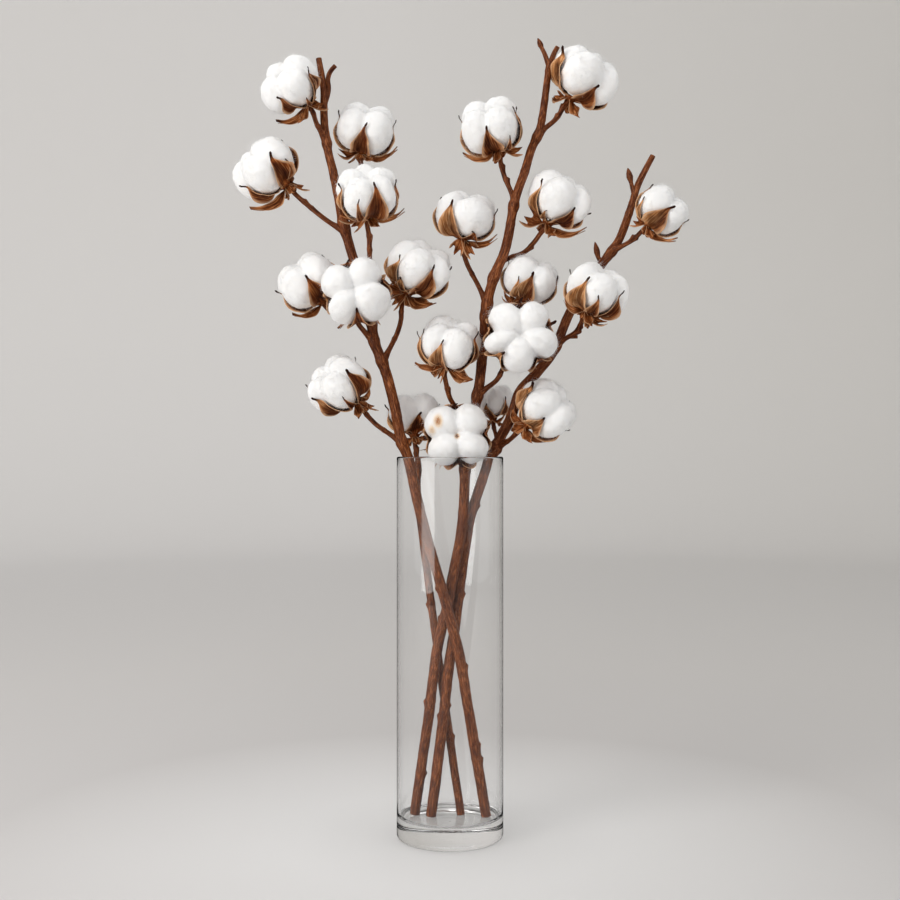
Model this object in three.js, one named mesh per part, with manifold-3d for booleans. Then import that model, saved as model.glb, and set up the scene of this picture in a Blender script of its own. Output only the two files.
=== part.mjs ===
// A bunch of four cut cotton stems standing in a tall clear glass cylinder vase.
// Millimetres, +Z up. The origin is the middle of the vase's underside, +X is to
// the right and -Y is towards whoever looks at the arrangement from the front.
import * as THREE from 'three';
import { mergeVertices } from 'three/addons/utils/BufferGeometryUtils.js';
import Module from 'manifold-3d';

// The vase: a blown cylinder with a thick flat base and a fire-rounded lip.
const VASE_RADIUS = 50;
const VASE_HEIGHT = 357;
const WALL = 3;
const BASE_THICKNESS = 20;
const BASE_EDGE_ROUNDING = 4;
const FLOOR_ROUNDING = 5;
const VASE_SIDES = 30;

// The stems: woody, about a finger's half thickness, cut flat and standing on the vase's floor.
const STEM_SIDES = 6;
const STALK_SIDES = 5;
const RING_SPACING = 38;
const STALK_SPACING = 22;
const SEAT_GAP = 0.3;
const STEM_TAPER_POWER = 6;
const STALK_RADIUS = 2.3;
const STALK_END_RADIUS = 2.7;
const STALK_ROOT_RADIUS = 3.1;

// One open cotton head of size 1. Its middle lies at least LEAST_RISE above its stalk's end.
const LEAST_RISE = 25.6;
const LOCK_HALF_LENGTH = 19.5;
const FIVE_LOCKS = { offset: 14.5, radial: 16.5, tangential: 14 };
const FOUR_LOCKS = { offset: 14.5, radial: 16.5, tangential: 16.5 };
const LOCK_SWAY = 5;
const LOCK_VARIATION = 0.05;
const VALVE_THICKNESS = 1.1;
const VALVE_GAP = 1.0;
const FOOT_RIM_GAP = 2.4;
const RIM_GAP = 3.0;
const BRACT_THICKNESS = 0.9;
const CUP = { height: 4.6, rootRadius: 3.1, topRadius: 5.6, sides: 5 };

const UP = new THREE.Vector3(0, 0, 1);
const FRONT = new THREE.Vector3(0, -1, 0);

const BARK = new THREE.MeshStandardMaterial({ color: 0x7d4526, roughness: 0.72, metalness: 0 });
const HUSK = new THREE.MeshStandardMaterial({ color: 0x6e3b1d, roughness: 0.8, metalness: 0 });
const COTTON = new THREE.MeshStandardMaterial({ color: 0xf4f2ee, roughness: 0.95, metalness: 0 });
const GLASS = new THREE.MeshStandardMaterial({
  color: 0xe9efee,
  roughness: 0.04,
  metalness: 0,
  transparent: true,
  opacity: 0.25,
});

const wasm = await Module();
wasm.setup();

const bunch = new THREE.Group();
const vector = (x, y, z) => new THREE.Vector3(x, y, z);
const radians = THREE.MathUtils.degToRad;

// A repeatable draw between 0 and 1 for any whole number.
function draw(seed) {
  const wave = Math.sin(seed * 12.9898) * 43758.5453;
  return wave - Math.floor(wave);
}

// Solids are built from shared vertices, turned right side out by their signed volume.
function solidFrom(positions, triangles) {
  let volume = 0;
  for (const [a, b, c] of triangles) {
    volume += positions[a].dot(vector(0, 0, 0).crossVectors(positions[b], positions[c]));
  }
  const facing = volume > 0 ? triangles : triangles.map(([a, b, c]) => [a, c, b]);
  return new wasm.Manifold(new wasm.Mesh({
    numProp: 3,
    vertProperties: new Float32Array(positions.flatMap((p) => p.toArray())),
    triVerts: new Uint32Array(facing.flat()),
  }));
}

function solidOf(geometry) {
  const bare = geometry.clone();
  bare.deleteAttribute('normal');
  bare.deleteAttribute('uv');
  const merged = mergeVertices(bare, 1e-3);
  return new wasm.Manifold(new wasm.Mesh({
    numProp: 3,
    vertProperties: new Float32Array(merged.attributes.position.array),
    triVerts: new Uint32Array(merged.index.array),
  }));
}

function addPiece(name, solid, material) {
  const mesh = solid.getMesh();
  const geometry = new THREE.BufferGeometry();
  geometry.setAttribute('position', new THREE.BufferAttribute(mesh.vertProperties, 3));
  geometry.setIndex(new THREE.BufferAttribute(mesh.triVerts, 1));
  geometry.computeVertexNormals();
  const piece = new THREE.Mesh(geometry, material);
  piece.name = name;
  bunch.add(piece);
}

// Two rows of points are joined like a zip, always stepping along the row that is behind.
function zip(lower, upper) {
  const triangles = [];
  let i = 0;
  let j = 0;
  while (i < lower.length - 1 || j < upper.length - 1) {
    const nextLower = (i + 1) / Math.max(lower.length - 1, 1);
    const nextUpper = (j + 1) / Math.max(upper.length - 1, 1);
    const stepLower = j >= upper.length - 1 || (i < lower.length - 1 && nextLower <= nextUpper);
    if (stepLower) {
      triangles.push([lower[i], lower[i + 1], upper[j]]);
      i += 1;
    } else {
      triangles.push([lower[i], upper[j + 1], upper[j]]);
      j += 1;
    }
  }
  return triangles;
}

// A thin blade given as rows across it from root to tip; each point knows which way is out.
function blade(rows, thickness) {
  const inner = rows.flat().map(({ at }) => at.clone());
  const outer = rows.flat().map(({ at, out }) => at.clone().addScaledVector(out, thickness));
  const count = inner.length;
  let next = 0;
  const indexRows = rows.map((row) => row.map(() => next++));
  const triangles = [];
  for (let r = 0; r + 1 < indexRows.length; r += 1) {
    for (const [a, b, c] of zip(indexRows[r], indexRows[r + 1])) {
      triangles.push([a, b, c]);
      triangles.push([a + count, c + count, b + count]);
    }
  }
  const outline = [
    ...indexRows[0],
    ...indexRows.slice(1, -1).map((row) => row[row.length - 1]),
    ...[...indexRows[indexRows.length - 1]].reverse(),
    ...indexRows.slice(1, -1).map((row) => row[0]).reverse(),
  ];
  outline.forEach((a, k) => {
    const b = outline[(k + 1) % outline.length];
    triangles.push([b, a, a + count]);
    triangles.push([b, a + count, b + count]);
  });
  return solidFrom([...inner, ...outer], triangles);
}

// A round bar along a line of points, with a radius at each point and a flat cut at both ends.
function bar(points, radii, sides, firstCut) {
  const directions = points.map((point, k) => {
    const before = points[Math.max(k - 1, 0)];
    const after = points[Math.min(k + 1, points.length - 1)];
    return after.clone().sub(before).normalize();
  });
  let across = vector(1, 0, 0);
  if (Math.abs(directions[0].x) > 0.8) {
    across = vector(0, 0, 1);
  }
  const positions = [];
  points.forEach((point, k) => {
    across = across.clone().addScaledVector(directions[k], -across.dot(directions[k])).normalize();
    const other = vector(0, 0, 0).crossVectors(directions[k], across);
    for (let s = 0; s < sides; s += 1) {
      const turn = (s / sides) * 2 * Math.PI;
      const spoke = across.clone().multiplyScalar(Math.cos(turn));
      spoke.addScaledVector(other, Math.sin(turn)).multiplyScalar(radii[k]);
      if (k === 0 && firstCut) {
        spoke.addScaledVector(directions[0], -spoke.dot(firstCut) / directions[0].dot(firstCut));
      }
      positions.push(point.clone().add(spoke));
    }
  });
  const triangles = [];
  for (let k = 0; k + 1 < points.length; k += 1) {
    for (let s = 0; s < sides; s += 1) {
      const a = k * sides + s;
      const b = k * sides + ((s + 1) % sides);
      triangles.push([a, b, b + sides]);
      triangles.push([a, b + sides, a + sides]);
    }
  }
  const last = (points.length - 1) * sides;
  for (let s = 1; s + 1 < sides; s += 1) {
    triangles.push([0, s + 1, s]);
    triangles.push([last, last + s, last + s + 1]);
  }
  return solidFrom(positions, triangles);
}

// Even steps along a smooth curve through the points chosen by hand.
function smoothRoute(points, spacing) {
  const curve = new THREE.CatmullRomCurve3(points, false, 'centripetal');
  const steps = Math.max(2, Math.round(curve.getLength() / spacing));
  return curve.getSpacedPoints(steps);
}

// The vase is a turned profile: underside, wall outside, lip, wall inside, floor.
function vaseProfile() {
  const inside = VASE_RADIUS - WALL;
  const lip = WALL / 2;
  const outline = [new THREE.Vector2(0, 0)];
  for (const turn of [-90, -45, 0]) {
    outline.push(new THREE.Vector2(
      VASE_RADIUS - BASE_EDGE_ROUNDING * (1 - Math.cos(radians(turn))),
      BASE_EDGE_ROUNDING * (1 + Math.sin(radians(turn))),
    ));
  }
  for (const turn of [0, 90, 180]) {
    outline.push(new THREE.Vector2(
      VASE_RADIUS - lip + lip * Math.cos(radians(turn)),
      VASE_HEIGHT - lip + lip * Math.sin(radians(turn)),
    ));
  }
  for (const turn of [0, -45, -90]) {
    outline.push(new THREE.Vector2(
      inside - FLOOR_ROUNDING * (1 - Math.cos(radians(turn))),
      BASE_THICKNESS + FLOOR_ROUNDING * (1 + Math.sin(radians(turn))),
    ));
  }
  outline.push(new THREE.Vector2(0, BASE_THICKNESS));
  return outline;
}

const vaseBody = new THREE.LatheGeometry(vaseProfile(), VASE_SIDES);
vaseBody.rotateX(Math.PI / 2);
addPiece('vase', solidOf(vaseBody), GLASS);

// Heads and stalks. Each head is placed by the end of its stalk and by the middle of its ball,
// both read off the arrangement. A stalk is the route from inside its stem up to just under it.
// Turns go round the ball's axis, counted from the front, and lifts go up from the stalk's side.
// Valves are [turn of the groove, turn of the tip, lift of the tip, width], one for each groove.
// Bracts are [turn, rise, length, half width, kind of end].
const STRAP = 'strap';
const RAGGED = 'ragged';
const ROUND = 'round';

const heads = [
  {
    name: '01', stem: 'left', size: 0.93,
    end: vector(-131.5, -12, 682.8), middle: vector(-148, -24, 700.5),
    stalk: [vector(-116, -1, 652), vector(-120.8, -4, 661), vector(-124.5, -7, 668)],
    valves: [[-42, -40, 97, 1], [52, 43, 98, 1.1], [140, 140, 108, 1], [225, 225, 108, 1]],
    bracts: [[65, -26, 15.5, 5.5, RAGGED], [-85, 18, 34, 3, STRAP], [-45, 0, 28, 3, ROUND]],
  },
  {
    name: '02', stem: 'left', size: 1,
    end: vector(-84.7, 18, 644.5), middle: vector(-80.4, 12, 669),
    stalk: [vector(-101, -1, 577), vector(-93, 16, 592), vector(-86.5, 24, 616), vector(-85, 21, 635.5)],
    valves: [[0, 4, 101, 0.85], [92, 92, 114, 0.95], [176, 176, 108, 1], [276, 277, 114, 1]],
    bracts: [[-85, 16, 24.5, 4.5, RAGGED], [80, 20, 34, 2.8, STRAP], [0, -22, 9, 3.4, RAGGED],
      [50, -2, 17, 3, ROUND]],
  },
  {
    name: '03', stem: 'left', size: 1.05,
    end: vector(-150.8, -6, 608.8), middle: vector(-173.4, -10, 626.4),
    stalk: [vector(-99, -3, 569), vector(-112, -4, 576), vector(-132, -5, 591.5), vector(-146, -6, 604)],
    valves: [[12, 18, 93, 1], [88, 84, 96, 1], [158, 150, 124, 1], [228, 222, 126, 1],
      [292, 294, 102, 1]],
    bracts: [[80, -46, 11.5, 6.5, RAGGED], [-90, 22, 36, 3.6, STRAP], [5, -60, 9, 3.6, ROUND]],
  },
  {
    name: '04', stem: 'left', size: 0.96,
    end: vector(-76.4, -24.4, 577.5), middle: vector(-75.3, -35, 599),
    stalk: [vector(-77.5, -5, 500), vector(-73, -11, 519), vector(-74.5, -17, 543),
      vector(-74.8, -20, 560)],
    valves: [[22, 24, 124, 1], [90, 92, 116, 1], [161, 161, 108, 1], [233, 233, 108, 1],
      [292, 292, 107, 1]],
    bracts: [[90, 14, 34.5, 3, STRAP], [-80, 14, 31.5, 4.5, RAGGED], [-45, -16, 22, 4.5, RAGGED],
      [40, -10, 20.5, 3.6, ROUND]],
  },
  {
    name: '05', stem: 'left', size: 1.04,
    end: vector(-118.5, 8, 501), middle: vector(-134.5, 5, 523.5),
    stalk: [vector(-73.5, -5, 483.5), vector(-88, 4, 487), vector(-105, 8, 491.5), vector(-114, 8, 496)],
    valves: [[5, 2, 97, 1], [90, 90, 115, 1], [180, 180, 110, 1], [270, 270, 108, 1]],
    bracts: [[-75, 16, 28.5, 2.8, STRAP], [60, 38, 9, 3, RAGGED]],
  },
  {
    name: '06', stem: 'left', size: 1.08,
    end: vector(-84.6, -19, 503), middle: vector(-85.4, -47, 506.5),
    stalk: [vector(-71.8, -7, 466), vector(-80, -11, 474), vector(-86.5, -13.5, 483),
      vector(-86.5, -13.5, 493)],
    valves: [[17, 17, 108, 1], [107, 107, 108, 1], [188, 188, 136, 1], [288, 288, 120, 1]],
    bracts: [[150, 10, 30, 2.6, STRAP], [-70, 16, 32, 2.4, STRAP], [-150, 2, 30, 3.6, RAGGED]],
  },
  {
    name: '07', stem: 'left', size: 1.02,
    end: vector(-42, -8, 507.2), middle: vector(-28, -12, 533.6),
    stalk: [vector(-63, -8, 446), vector(-58, -8, 455), vector(-49, -8, 473), vector(-45.6, -8, 486),
      vector(-45.4, -8, 493)],
    valves: [[-48, -42, 94, 1], [38, 28, 107, 1], [95, 94, 119, 1], [168, 168, 108, 1],
      [256, 262, 106, 1]],
    bracts: [[-80, 10, 25, 6, RAGGED], [-35, -58, 17, 4.5, RAGGED], [65, 16, 31, 5.5, ROUND]],
  },
  {
    name: '08', stem: 'left', size: 0.98,
    end: vector(-86, -5, 405.8), middle: vector(-105.4, -14, 425),
    stalk: [vector(-45, -9, 370.5), vector(-56, -9, 378), vector(-70, -7.5, 388), vector(-80, -6, 399)],
    valves: [[34, 36, 107, 1], [90, 92, 100, 1], [166, 166, 112, 1], [238, 236, 126, 1],
      [305, 298, 110, 1]],
    bracts: [[70, -48, 14, 6, RAGGED], [95, 14, 20, 1.8, STRAP], [-15, -4, 30, 3.6, ROUND]],
  },
  {
    name: '09', stem: 'centre', size: 0.98,
    end: vector(-4.6, -10, 438.8), middle: vector(0, -16, 463.5),
    stalk: [vector(17.5, 13, 371), vector(12, 11, 384), vector(6, 6.5, 401), vector(-0.8, -3, 414),
      vector(-3.8, -7.5, 426)],
    valves: [[-20, -15, 101, 0.8], [68, 68, 122, 1], [158, 158, 108, 1], [277, 284, 108, 1.1]],
    bracts: [[-90, -2, 27, 2.8, STRAP], [-35, -60, 13, 3.2, RAGGED], [77, -10, 27.5, 5.5, ROUND]],
  },
  {
    name: '10', stem: 'centre', size: 1,
    end: vector(11.3, 4, 559.8), middle: vector(15.6, 2, 584.6),
    stalk: [vector(34.8, 1, 501), vector(26.5, 3, 518.5), vector(15.2, 4, 541), vector(12.4, 4, 552)],
    valves: [[-36, -38, 109, 1], [92, 90, 110, 1], [176, 176, 108, 1], [262, 270, 115, 1]],
    bracts: [[85, 16, 31.5, 2.8, STRAP], [-25, -56, 19, 5, RAGGED], [45, -30, 23.5, 5.5, RAGGED]],
  },
  {
    name: '11', stem: 'centre', size: 1.02,
    end: vector(46, 2, 644.4), middle: vector(38, -7, 665.5),
    stalk: [vector(60.5, -3, 592), vector(59, 0, 602), vector(51.2, 2, 621), vector(47.5, 3, 636)],
    valves: [[-20, -16, 100, 1], [78, 72, 106, 1.15], [165, 165, 108, 1], [258, 262, 126, 1]],
    bracts: [[-90, 16, 31, 3.2, STRAP], [80, -4, 21.5, 5.5, RAGGED], [-20, -6, 30.5, 2.6, ROUND]],
  },
  {
    name: '12', stem: 'centre', size: 1.1,
    end: vector(110.9, 0, 691.3), middle: vector(127.5, -3, 714.5),
    stalk: [vector(82, -1, 657), vector(88, 0, 664.5), vector(99.6, 0, 674.4), vector(107, 0, 686)],
    valves: [[-62, -72, 103, 1.35], [43, 29, 81, 1.1], [97, 94, 94, 0.92], [158, 150, 112, 1],
      [224, 224, 108, 1]],
    bracts: [[-80, -20, 13, 4.5, RAGGED], [50, -22, 22.5, 3.6, ROUND]],
  },
  {
    name: '13', stem: 'centre', size: 1.02,
    end: vector(90.2, 5, 574.8), middle: vector(104.3, 2, 600.2),
    stalk: [vector(41, -3, 526), vector(47.6, 9, 539), vector(57, 24, 547.5), vector(70.5, 24, 552.5),
      vector(80, 13, 561), vector(86.5, 7.5, 569.5)],
    valves: [[-59, -50, 99, 1], [38, 38, 84, 1], [90, 90, 93, 0.92], [150, 140, 122, 1],
      [226, 226, 108, 1]],
    bracts: [[-78, 4, 26, 6, RAGGED], [85, 24, 35, 2.8, STRAP], [25, -12, 29, 3.6, ROUND]],
  },
  {
    name: '14', stem: 'centre', size: 0.93,
    end: vector(66, 9, 502.5), middle: vector(76.5, 7, 525.5),
    stalk: [vector(33.5, 2, 490), vector(41, 10, 485), vector(53, 13, 487.5), vector(62, 11, 495)],
    valves: [[-2, 2, 100, 1.1], [88, 87, 120, 1], [170, 170, 108, 1], [272, 272, 109, 0.85]],
    bracts: [[-75, 18, 21, 4, RAGGED], [65, 14, 27, 4, RAGGED]],
  },
  {
    name: '15', stem: 'centre', size: 1.13,
    end: vector(64.5, -9, 464.5), middle: vector(64, -38, 467.1),
    stalk: [vector(26.5, 12, 416), vector(35.5, 9, 422.5), vector(44.2, 4, 429.5), vector(50, 0, 440),
      vector(58, -3, 453)],
    valves: [[2, 2, 108, 1], [80, 72, 118, 1], [134, 136, 130, 1], [215, 218, 122, 1],
      [289, 292, 100, 1]],
    bracts: [[-160, -14, 26, 4, RAGGED], [110, 14, 33, 2.4, STRAP], [-105, 16, 30, 2.2, STRAP]],
  },
  {
    name: '16', stem: 'right', size: 0.99,
    end: vector(125, -17, 489.3), middle: vector(136, -20, 512.5),
    stalk: [vector(100.4, 15, 462.5), vector(108, 9, 468), vector(118, -1.5, 474),
      vector(122.5, -11, 482)],
    valves: [[-35, -28, 101, 1], [56, 52, 105, 0.85], [99, 101, 104, 0.75], [190, 190, 108, 1],
      [268, 270, 100, 1]],
    bracts: [[-85, 12, 21.5, 3.2, STRAP], [60, 14, 28, 4, RAGGED], [25, -18, 24, 3.6, ROUND],
      [-20, -48, 10, 3.4, RAGGED]],
  },
  {
    name: '17', stem: 'right', size: 0.87,
    end: vector(183.2, -7, 571.5), middle: vector(199, -10, 587.5),
    stalk: [vector(154.5, 19, 554), vector(162.4, 12, 556.5), vector(172.6, 2, 561.5),
      vector(179, -4, 567.5)],
    valves: [[6, 8, 105, 1.15], [90, 86, 112, 1], [184, 184, 108, 1], [272, 270, 113, 1]],
    bracts: [[-80, -18, 16, 5, RAGGED], [75, 20, 34, 2.8, STRAP], [35, -14, 26, 3.6, ROUND]],
  },
  {
    name: '18', stem: 'right', size: 0.99,
    end: vector(68.2, -8, 385), middle: vector(91.2, -12, 402.2),
    stalk: [vector(43.5, 12, 364.5), vector(49.5, 7, 368.5), vector(56.5, 0, 373.3),
      vector(63.5, -5, 380)],
    valves: [[-60, -68, 99, 1.35], [14, 12, 79, 1], [87, 88, 99, 1], [166, 156, 128, 1],
      [238, 238, 108, 1]],
    bracts: [[50, -4, 20.5, 3.4, ROUND], [75, 26, 28, 2.8, STRAP], [-75, 4, 18, 2.8, STRAP]],
  },
  {
    name: '19', stem: 'centre', size: 1.08,
    end: vector(7, 5.5, 372.5), middle: vector(6.5, -22, 377.1),
    stalk: [vector(14.4, 9.5, 345), vector(11.6, 10, 354), vector(8.6, 12, 364)],
    valves: [[5, 5, 108, 1.35], [98, 98, 110, 1.35], [185, 185, 108, 1.35], [270, 270, 126, 1]],
    bracts: [[105, -3, 34, 3.6, RAGGED], [145, -4, 36, 3.2, RAGGED], [-115, 10, 32, 2.6, STRAP]],
  },
  {
    name: '20', stem: 'back', size: 0.9,
    end: vector(-34, 27, 374), middle: vector(-35.8, 33, 399.5),
    stalk: [vector(-31.3, 23.6, 343), vector(-31.8, 24.8, 354), vector(-32.8, 26, 364)],
    valves: [[12, 16, 76, 1], [102, 102, 108, 1], [190, 190, 108, 1], [280, 280, 108, 1]],
    bracts: [[70, 10, 22, 2.4, STRAP], [-60, -20, 15, 3.6, RAGGED], [15, -50, 12, 3, ROUND]],
  },
  {
    name: '21', stem: 'right', size: 0.7,
    end: vector(42, 41, 391), middle: vector(41, 43, 412),
    stalk: [vector(44, 12.5, 366), vector(45.5, 22, 369.5), vector(44.5, 32, 376), vector(43, 39, 384)],
    valves: [[-24, -24, 74, 1], [50, 36, 91, 1], [145, 145, 108, 1], [240, 240, 108, 1]],
    bracts: [[40, 20, 24, 3.4, STRAP], [-75, 6, 18, 3.4, ROUND]],
  },
];

// A head's own directions: out along its axis, towards the front, and to the right of both.
function orient(head) {
  head.axis = head.middle.clone().sub(head.end).normalize();
  const towards = Math.abs(head.axis.y) > 0.8 ? UP : FRONT;
  head.front = towards.clone().addScaledVector(head.axis, -towards.dot(head.axis)).normalize();
  head.right = vector(0, 0, 0).crossVectors(head.axis, head.front);
  head.rise = Math.max(head.middle.distanceTo(head.end), LEAST_RISE * head.size);
  head.ball = head.end.clone().addScaledVector(head.axis, head.rise);
  head.sway = towards === UP ? 0 : LOCK_SWAY;
  const turns = head.valves.map(([turn]) => radians(turn));
  head.grooves = turns.map((turn, k) => [turn, k + 1 < turns.length ? turns[k + 1] : turns[0] + 2 * Math.PI]);
}

// A direction from the ball's middle: turn goes round the axis, lift up from the stalk side.
function bearing(head, turn, lift) {
  const flat = head.front.clone().multiplyScalar(Math.cos(turn) * Math.sin(lift));
  flat.addScaledVector(head.right, Math.sin(turn) * Math.sin(lift));
  return flat.addScaledVector(head.axis, -Math.cos(lift));
}

// How far the cotton reaches from the ball's middle: the furthest way out of any of its locks,
// each a fat ellipsoid set off the axis between two grooves, stretched round the axis to fill the
// turn between them. The locks at the front sit lower than those at the back.
function cottonReach(head, turn, lift) {
  const shape = head.grooves.length === 5 ? FIVE_LOCKS : FOUR_LOCKS;
  const evenTurn = (2 * Math.PI) / head.grooves.length;
  let reach = 0;
  head.grooves.forEach(([groove, next], k) => {
    const seed = Number(head.name) * 10 + k;
    const fuller = 1 + LOCK_VARIATION * (2 * draw(seed) - 1);
    const longer = 1 + LOCK_VARIATION * (2 * draw(seed + 300) - 1);
    const turned = turn - (groove + next) / 2;
    const nearest = turned - 2 * Math.PI * Math.round(turned / (2 * Math.PI));
    const away = THREE.MathUtils.clamp((nearest * evenTurn) / (next - groove), -Math.PI, Math.PI);
    const along = [
      (Math.sin(lift) * Math.cos(away)) / (shape.radial * fuller),
      (Math.sin(lift) * Math.sin(away)) / (shape.tangential * fuller),
      -Math.cos(lift) / (LOCK_HALF_LENGTH * longer),
    ];
    const out = shape.offset / (shape.radial * fuller);
    const up = (-head.sway * Math.cos((groove + next) / 2)) / (LOCK_HALF_LENGTH * longer);
    const push = along[0] * out + along[2] * up;
    const size = along[0] ** 2 + along[1] ** 2 + along[2] ** 2;
    const spare = 1 - out ** 2 - up ** 2;
    reach = Math.max(reach, (push + Math.sqrt(Math.max(push * push + size * spare, 0))) / size);
  });
  return reach * head.size;
}

// The lint: one closed skin over the locks, with rows set closer where they meet at the top.
const LINT_LIFTS = [24, 46, 68, 90, 114, 142].map(radians);
const LINT_COLUMNS_A_LOCK = 4;

function lint(head) {
  const turns = head.grooves.flatMap(([groove, next]) => Array.from(
    { length: LINT_COLUMNS_A_LOCK },
    (_, k) => groove + (k / LINT_COLUMNS_A_LOCK) * (next - groove),
  ));
  const columns = turns.length;
  const positions = [head.ball.clone().addScaledVector(bearing(head, 0, 0), cottonReach(head, 0, 0))];
  for (const lift of LINT_LIFTS) {
    for (const turn of turns) {
      const reach = cottonReach(head, turn, lift);
      positions.push(head.ball.clone().addScaledVector(bearing(head, turn, lift), reach));
    }
  }
  positions.push(head.ball.clone().addScaledVector(head.axis, cottonReach(head, 0, Math.PI)));
  const last = positions.length - 1;
  const triangles = [];
  for (let c = 0; c < columns; c += 1) {
    const d = (c + 1) % columns;
    triangles.push([0, 1 + d, 1 + c]);
    for (let r = 0; r + 1 < LINT_LIFTS.length; r += 1) {
      const low = 1 + r * columns;
      const high = low + columns;
      triangles.push([low + c, low + d, high + d]);
      triangles.push([low + c, high + d, high + c]);
    }
    const top = last - columns;
    triangles.push([top + c, top + d, last]);
  }
  return solidFrom(positions, triangles);
}

// One valve of the dried husk: a pointed boat that springs from the cup, folded into a groove,
// its rims riding up the locks on both sides and its beak curling a little away from the lint.
// Its keel keeps to an even curve of its own where the groove is deeper than that.
// Each row across it lies a share of the way along from the first lift to the tip's, but never
// further up than its own highest lift, so that the foot stays at the cup on a long valve too.
const VALVE_GIRTH = 28;
const VALVE_ROWS = [
  { along: 0, half: 4.4, points: 2, highest: 25 },
  { along: 0.31, half: 8.6, points: 3, highest: 50 },
  { along: 0.65, half: 7.6, points: 2, highest: 76 },
];
const BEAK_ROW = { along: 0.85, half: 2.4, points: 2, highest: 180 };
const LONG_VALVE_LIFT = 112;
const VALVE_FIRST_LIFT = 25;
const VALVE_ROOT = { out: 1.6, up: 2.6 };
const BEAK_OUT = 2.2;
const KEEL = { out: 25, along: 22.5 };

function keelReach(head, lift) {
  return head.size / Math.hypot(Math.sin(lift) / KEEL.out, Math.cos(lift) / KEEL.along);
}

function valve(head, [groove, tipTurn, tipLift, width]) {
  const turnAt = (lift) => {
    const along = (lift - VALVE_FIRST_LIFT) / (tipLift - VALVE_FIRST_LIFT);
    return radians(groove + (tipTurn - groove) * along ** 2);
  };
  const foot = turnAt(VALVE_FIRST_LIFT);
  const root = head.end.clone().addScaledVector(head.axis, VALVE_ROOT.up * head.size);
  root.addScaledVector(bearing(head, foot, Math.PI / 2), VALVE_ROOT.out * head.size);
  const rows = [[{ at: root, out: bearing(head, foot, radians(VALVE_FIRST_LIFT)) }]];
  const all = tipLift > LONG_VALVE_LIFT ? [...VALVE_ROWS, BEAK_ROW] : VALVE_ROWS;
  for (const { along, half, points, highest } of all) {
    const lift = Math.min(VALVE_FIRST_LIFT + (tipLift - VALVE_FIRST_LIFT) * along, highest);
    const rise = radians(lift);
    const spread = (half * width) / (VALVE_GIRTH * Math.sin(rise));
    rows.push(Array.from({ length: points }, (_, k) => {
      const side = -1 + (2 * k) / (points - 1);
      const turn = turnAt(lift) + spread * side;
      const out = bearing(head, turn, rise);
      const rimGap = lift > VALVE_FIRST_LIFT ? RIM_GAP : FOOT_RIM_GAP;
      const gap = VALVE_GAP + (rimGap - VALVE_GAP) * Math.abs(side);
      const reach = Math.max(cottonReach(head, turn, rise) + gap, keelReach(head, rise));
      return { at: head.ball.clone().addScaledVector(out, reach), out };
    }));
  }
  const out = bearing(head, turnAt(tipLift), radians(tipLift));
  const tip = radians(tipLift);
  const tipReach = Math.max(cottonReach(head, turnAt(tipLift), tip), keelReach(head, tip)) + BEAK_OUT;
  rows.push([{ at: head.ball.clone().addScaledVector(out, tipReach), out }]);
  return blade(rows, VALVE_THICKNESS);
}

// One bract of the collar below the valves: a dry leaf that leaves the cup sideways and
// then rises along the ball or droops beside the stalk, with a pointed, torn or round end.
const BRACT_ROWS = {
  [STRAP]: [
    [[-0.9, 0], [0.9, 0]],
    [[-1, 0.5], [1, 0.5]],
    [[-0.5, 1], [0.5, 1]],
  ],
  [RAGGED]: [
    [[-0.5, 0], [0.5, 0]],
    [[-0.95, 0.55], [0.9, 0.5]],
    [[-1, 0.9], [-0.25, 0.72], [0.5, 1]],
  ],
  [ROUND]: [
    [[-0.6, 0], [0.6, 0]],
    [[-1, 0.45], [1, 0.5]],
    [[-0.6, 0.92], [0.5, 1]],
  ],
};
const BRACT_ROOT = { out: 2.0, up: 1.9 };
const BRACT_DIP = 3.9;

function bract(head, [turnDegrees, riseDegrees, length, halfWidth, kind]) {
  const turn = radians(turnDegrees);
  const rise = radians(riseDegrees);
  const outward = head.front.clone().multiplyScalar(Math.cos(turn));
  outward.addScaledVector(head.right, Math.sin(turn));
  const sideways = vector(0, 0, 0).crossVectors(head.axis, outward);
  const bend = rise > 0 ? 3 : 1.4;
  const roll = (kind === STRAP ? 0.8 : 0.35) * (draw(turnDegrees + 31 * Number(head.name)) > 0.5 ? 1 : -1);
  const rows = BRACT_ROWS[kind].map((row) => row.map(([across, along]) => {
    const free = Math.min(1, 2.5 * along);
    const twist = roll * free;
    const fold = kind === STRAP ? 0 : 0.9 * (1 - Math.abs(across)) * free;
    const out = BRACT_ROOT.out + length * Math.cos(rise) * along;
    const up = BRACT_ROOT.up - BRACT_DIP * free + length * Math.sin(rise) * along ** bend - fold;
    const at = head.end.clone().addScaledVector(outward, out * head.size);
    at.addScaledVector(sideways, across * halfWidth * Math.cos(twist) * head.size);
    at.addScaledVector(head.axis, (up + across * halfWidth * Math.sin(twist)) * head.size);
    const slope = Math.sin(rise) * bend * along ** (bend - 1);
    const face = head.axis.clone().multiplyScalar(Math.cos(rise)).addScaledVector(outward, -slope);
    face.addScaledVector(sideways, -Math.sin(twist));
    return { at, out: face.normalize() };
  }));
  return blade(rows, BRACT_THICKNESS);
}

// The cup under the ball, from which valves and bracts all spring.
function cup(head) {
  const from = head.end.clone().addScaledVector(head.axis, SEAT_GAP);
  const points = [from, from.clone().addScaledVector(head.axis, CUP.height * head.size)];
  const radii = [CUP.rootRadius * head.size, CUP.topRadius * head.size];
  return bar(points, radii, CUP.sides);
}

function husk(head) {
  let solid = cup(head);
  for (const shape of head.valves) {
    solid = solid.add(valve(head, shape));
  }
  for (const shape of head.bracts) {
    solid = solid.add(bract(head, shape));
  }
  return solid;
}

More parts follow.
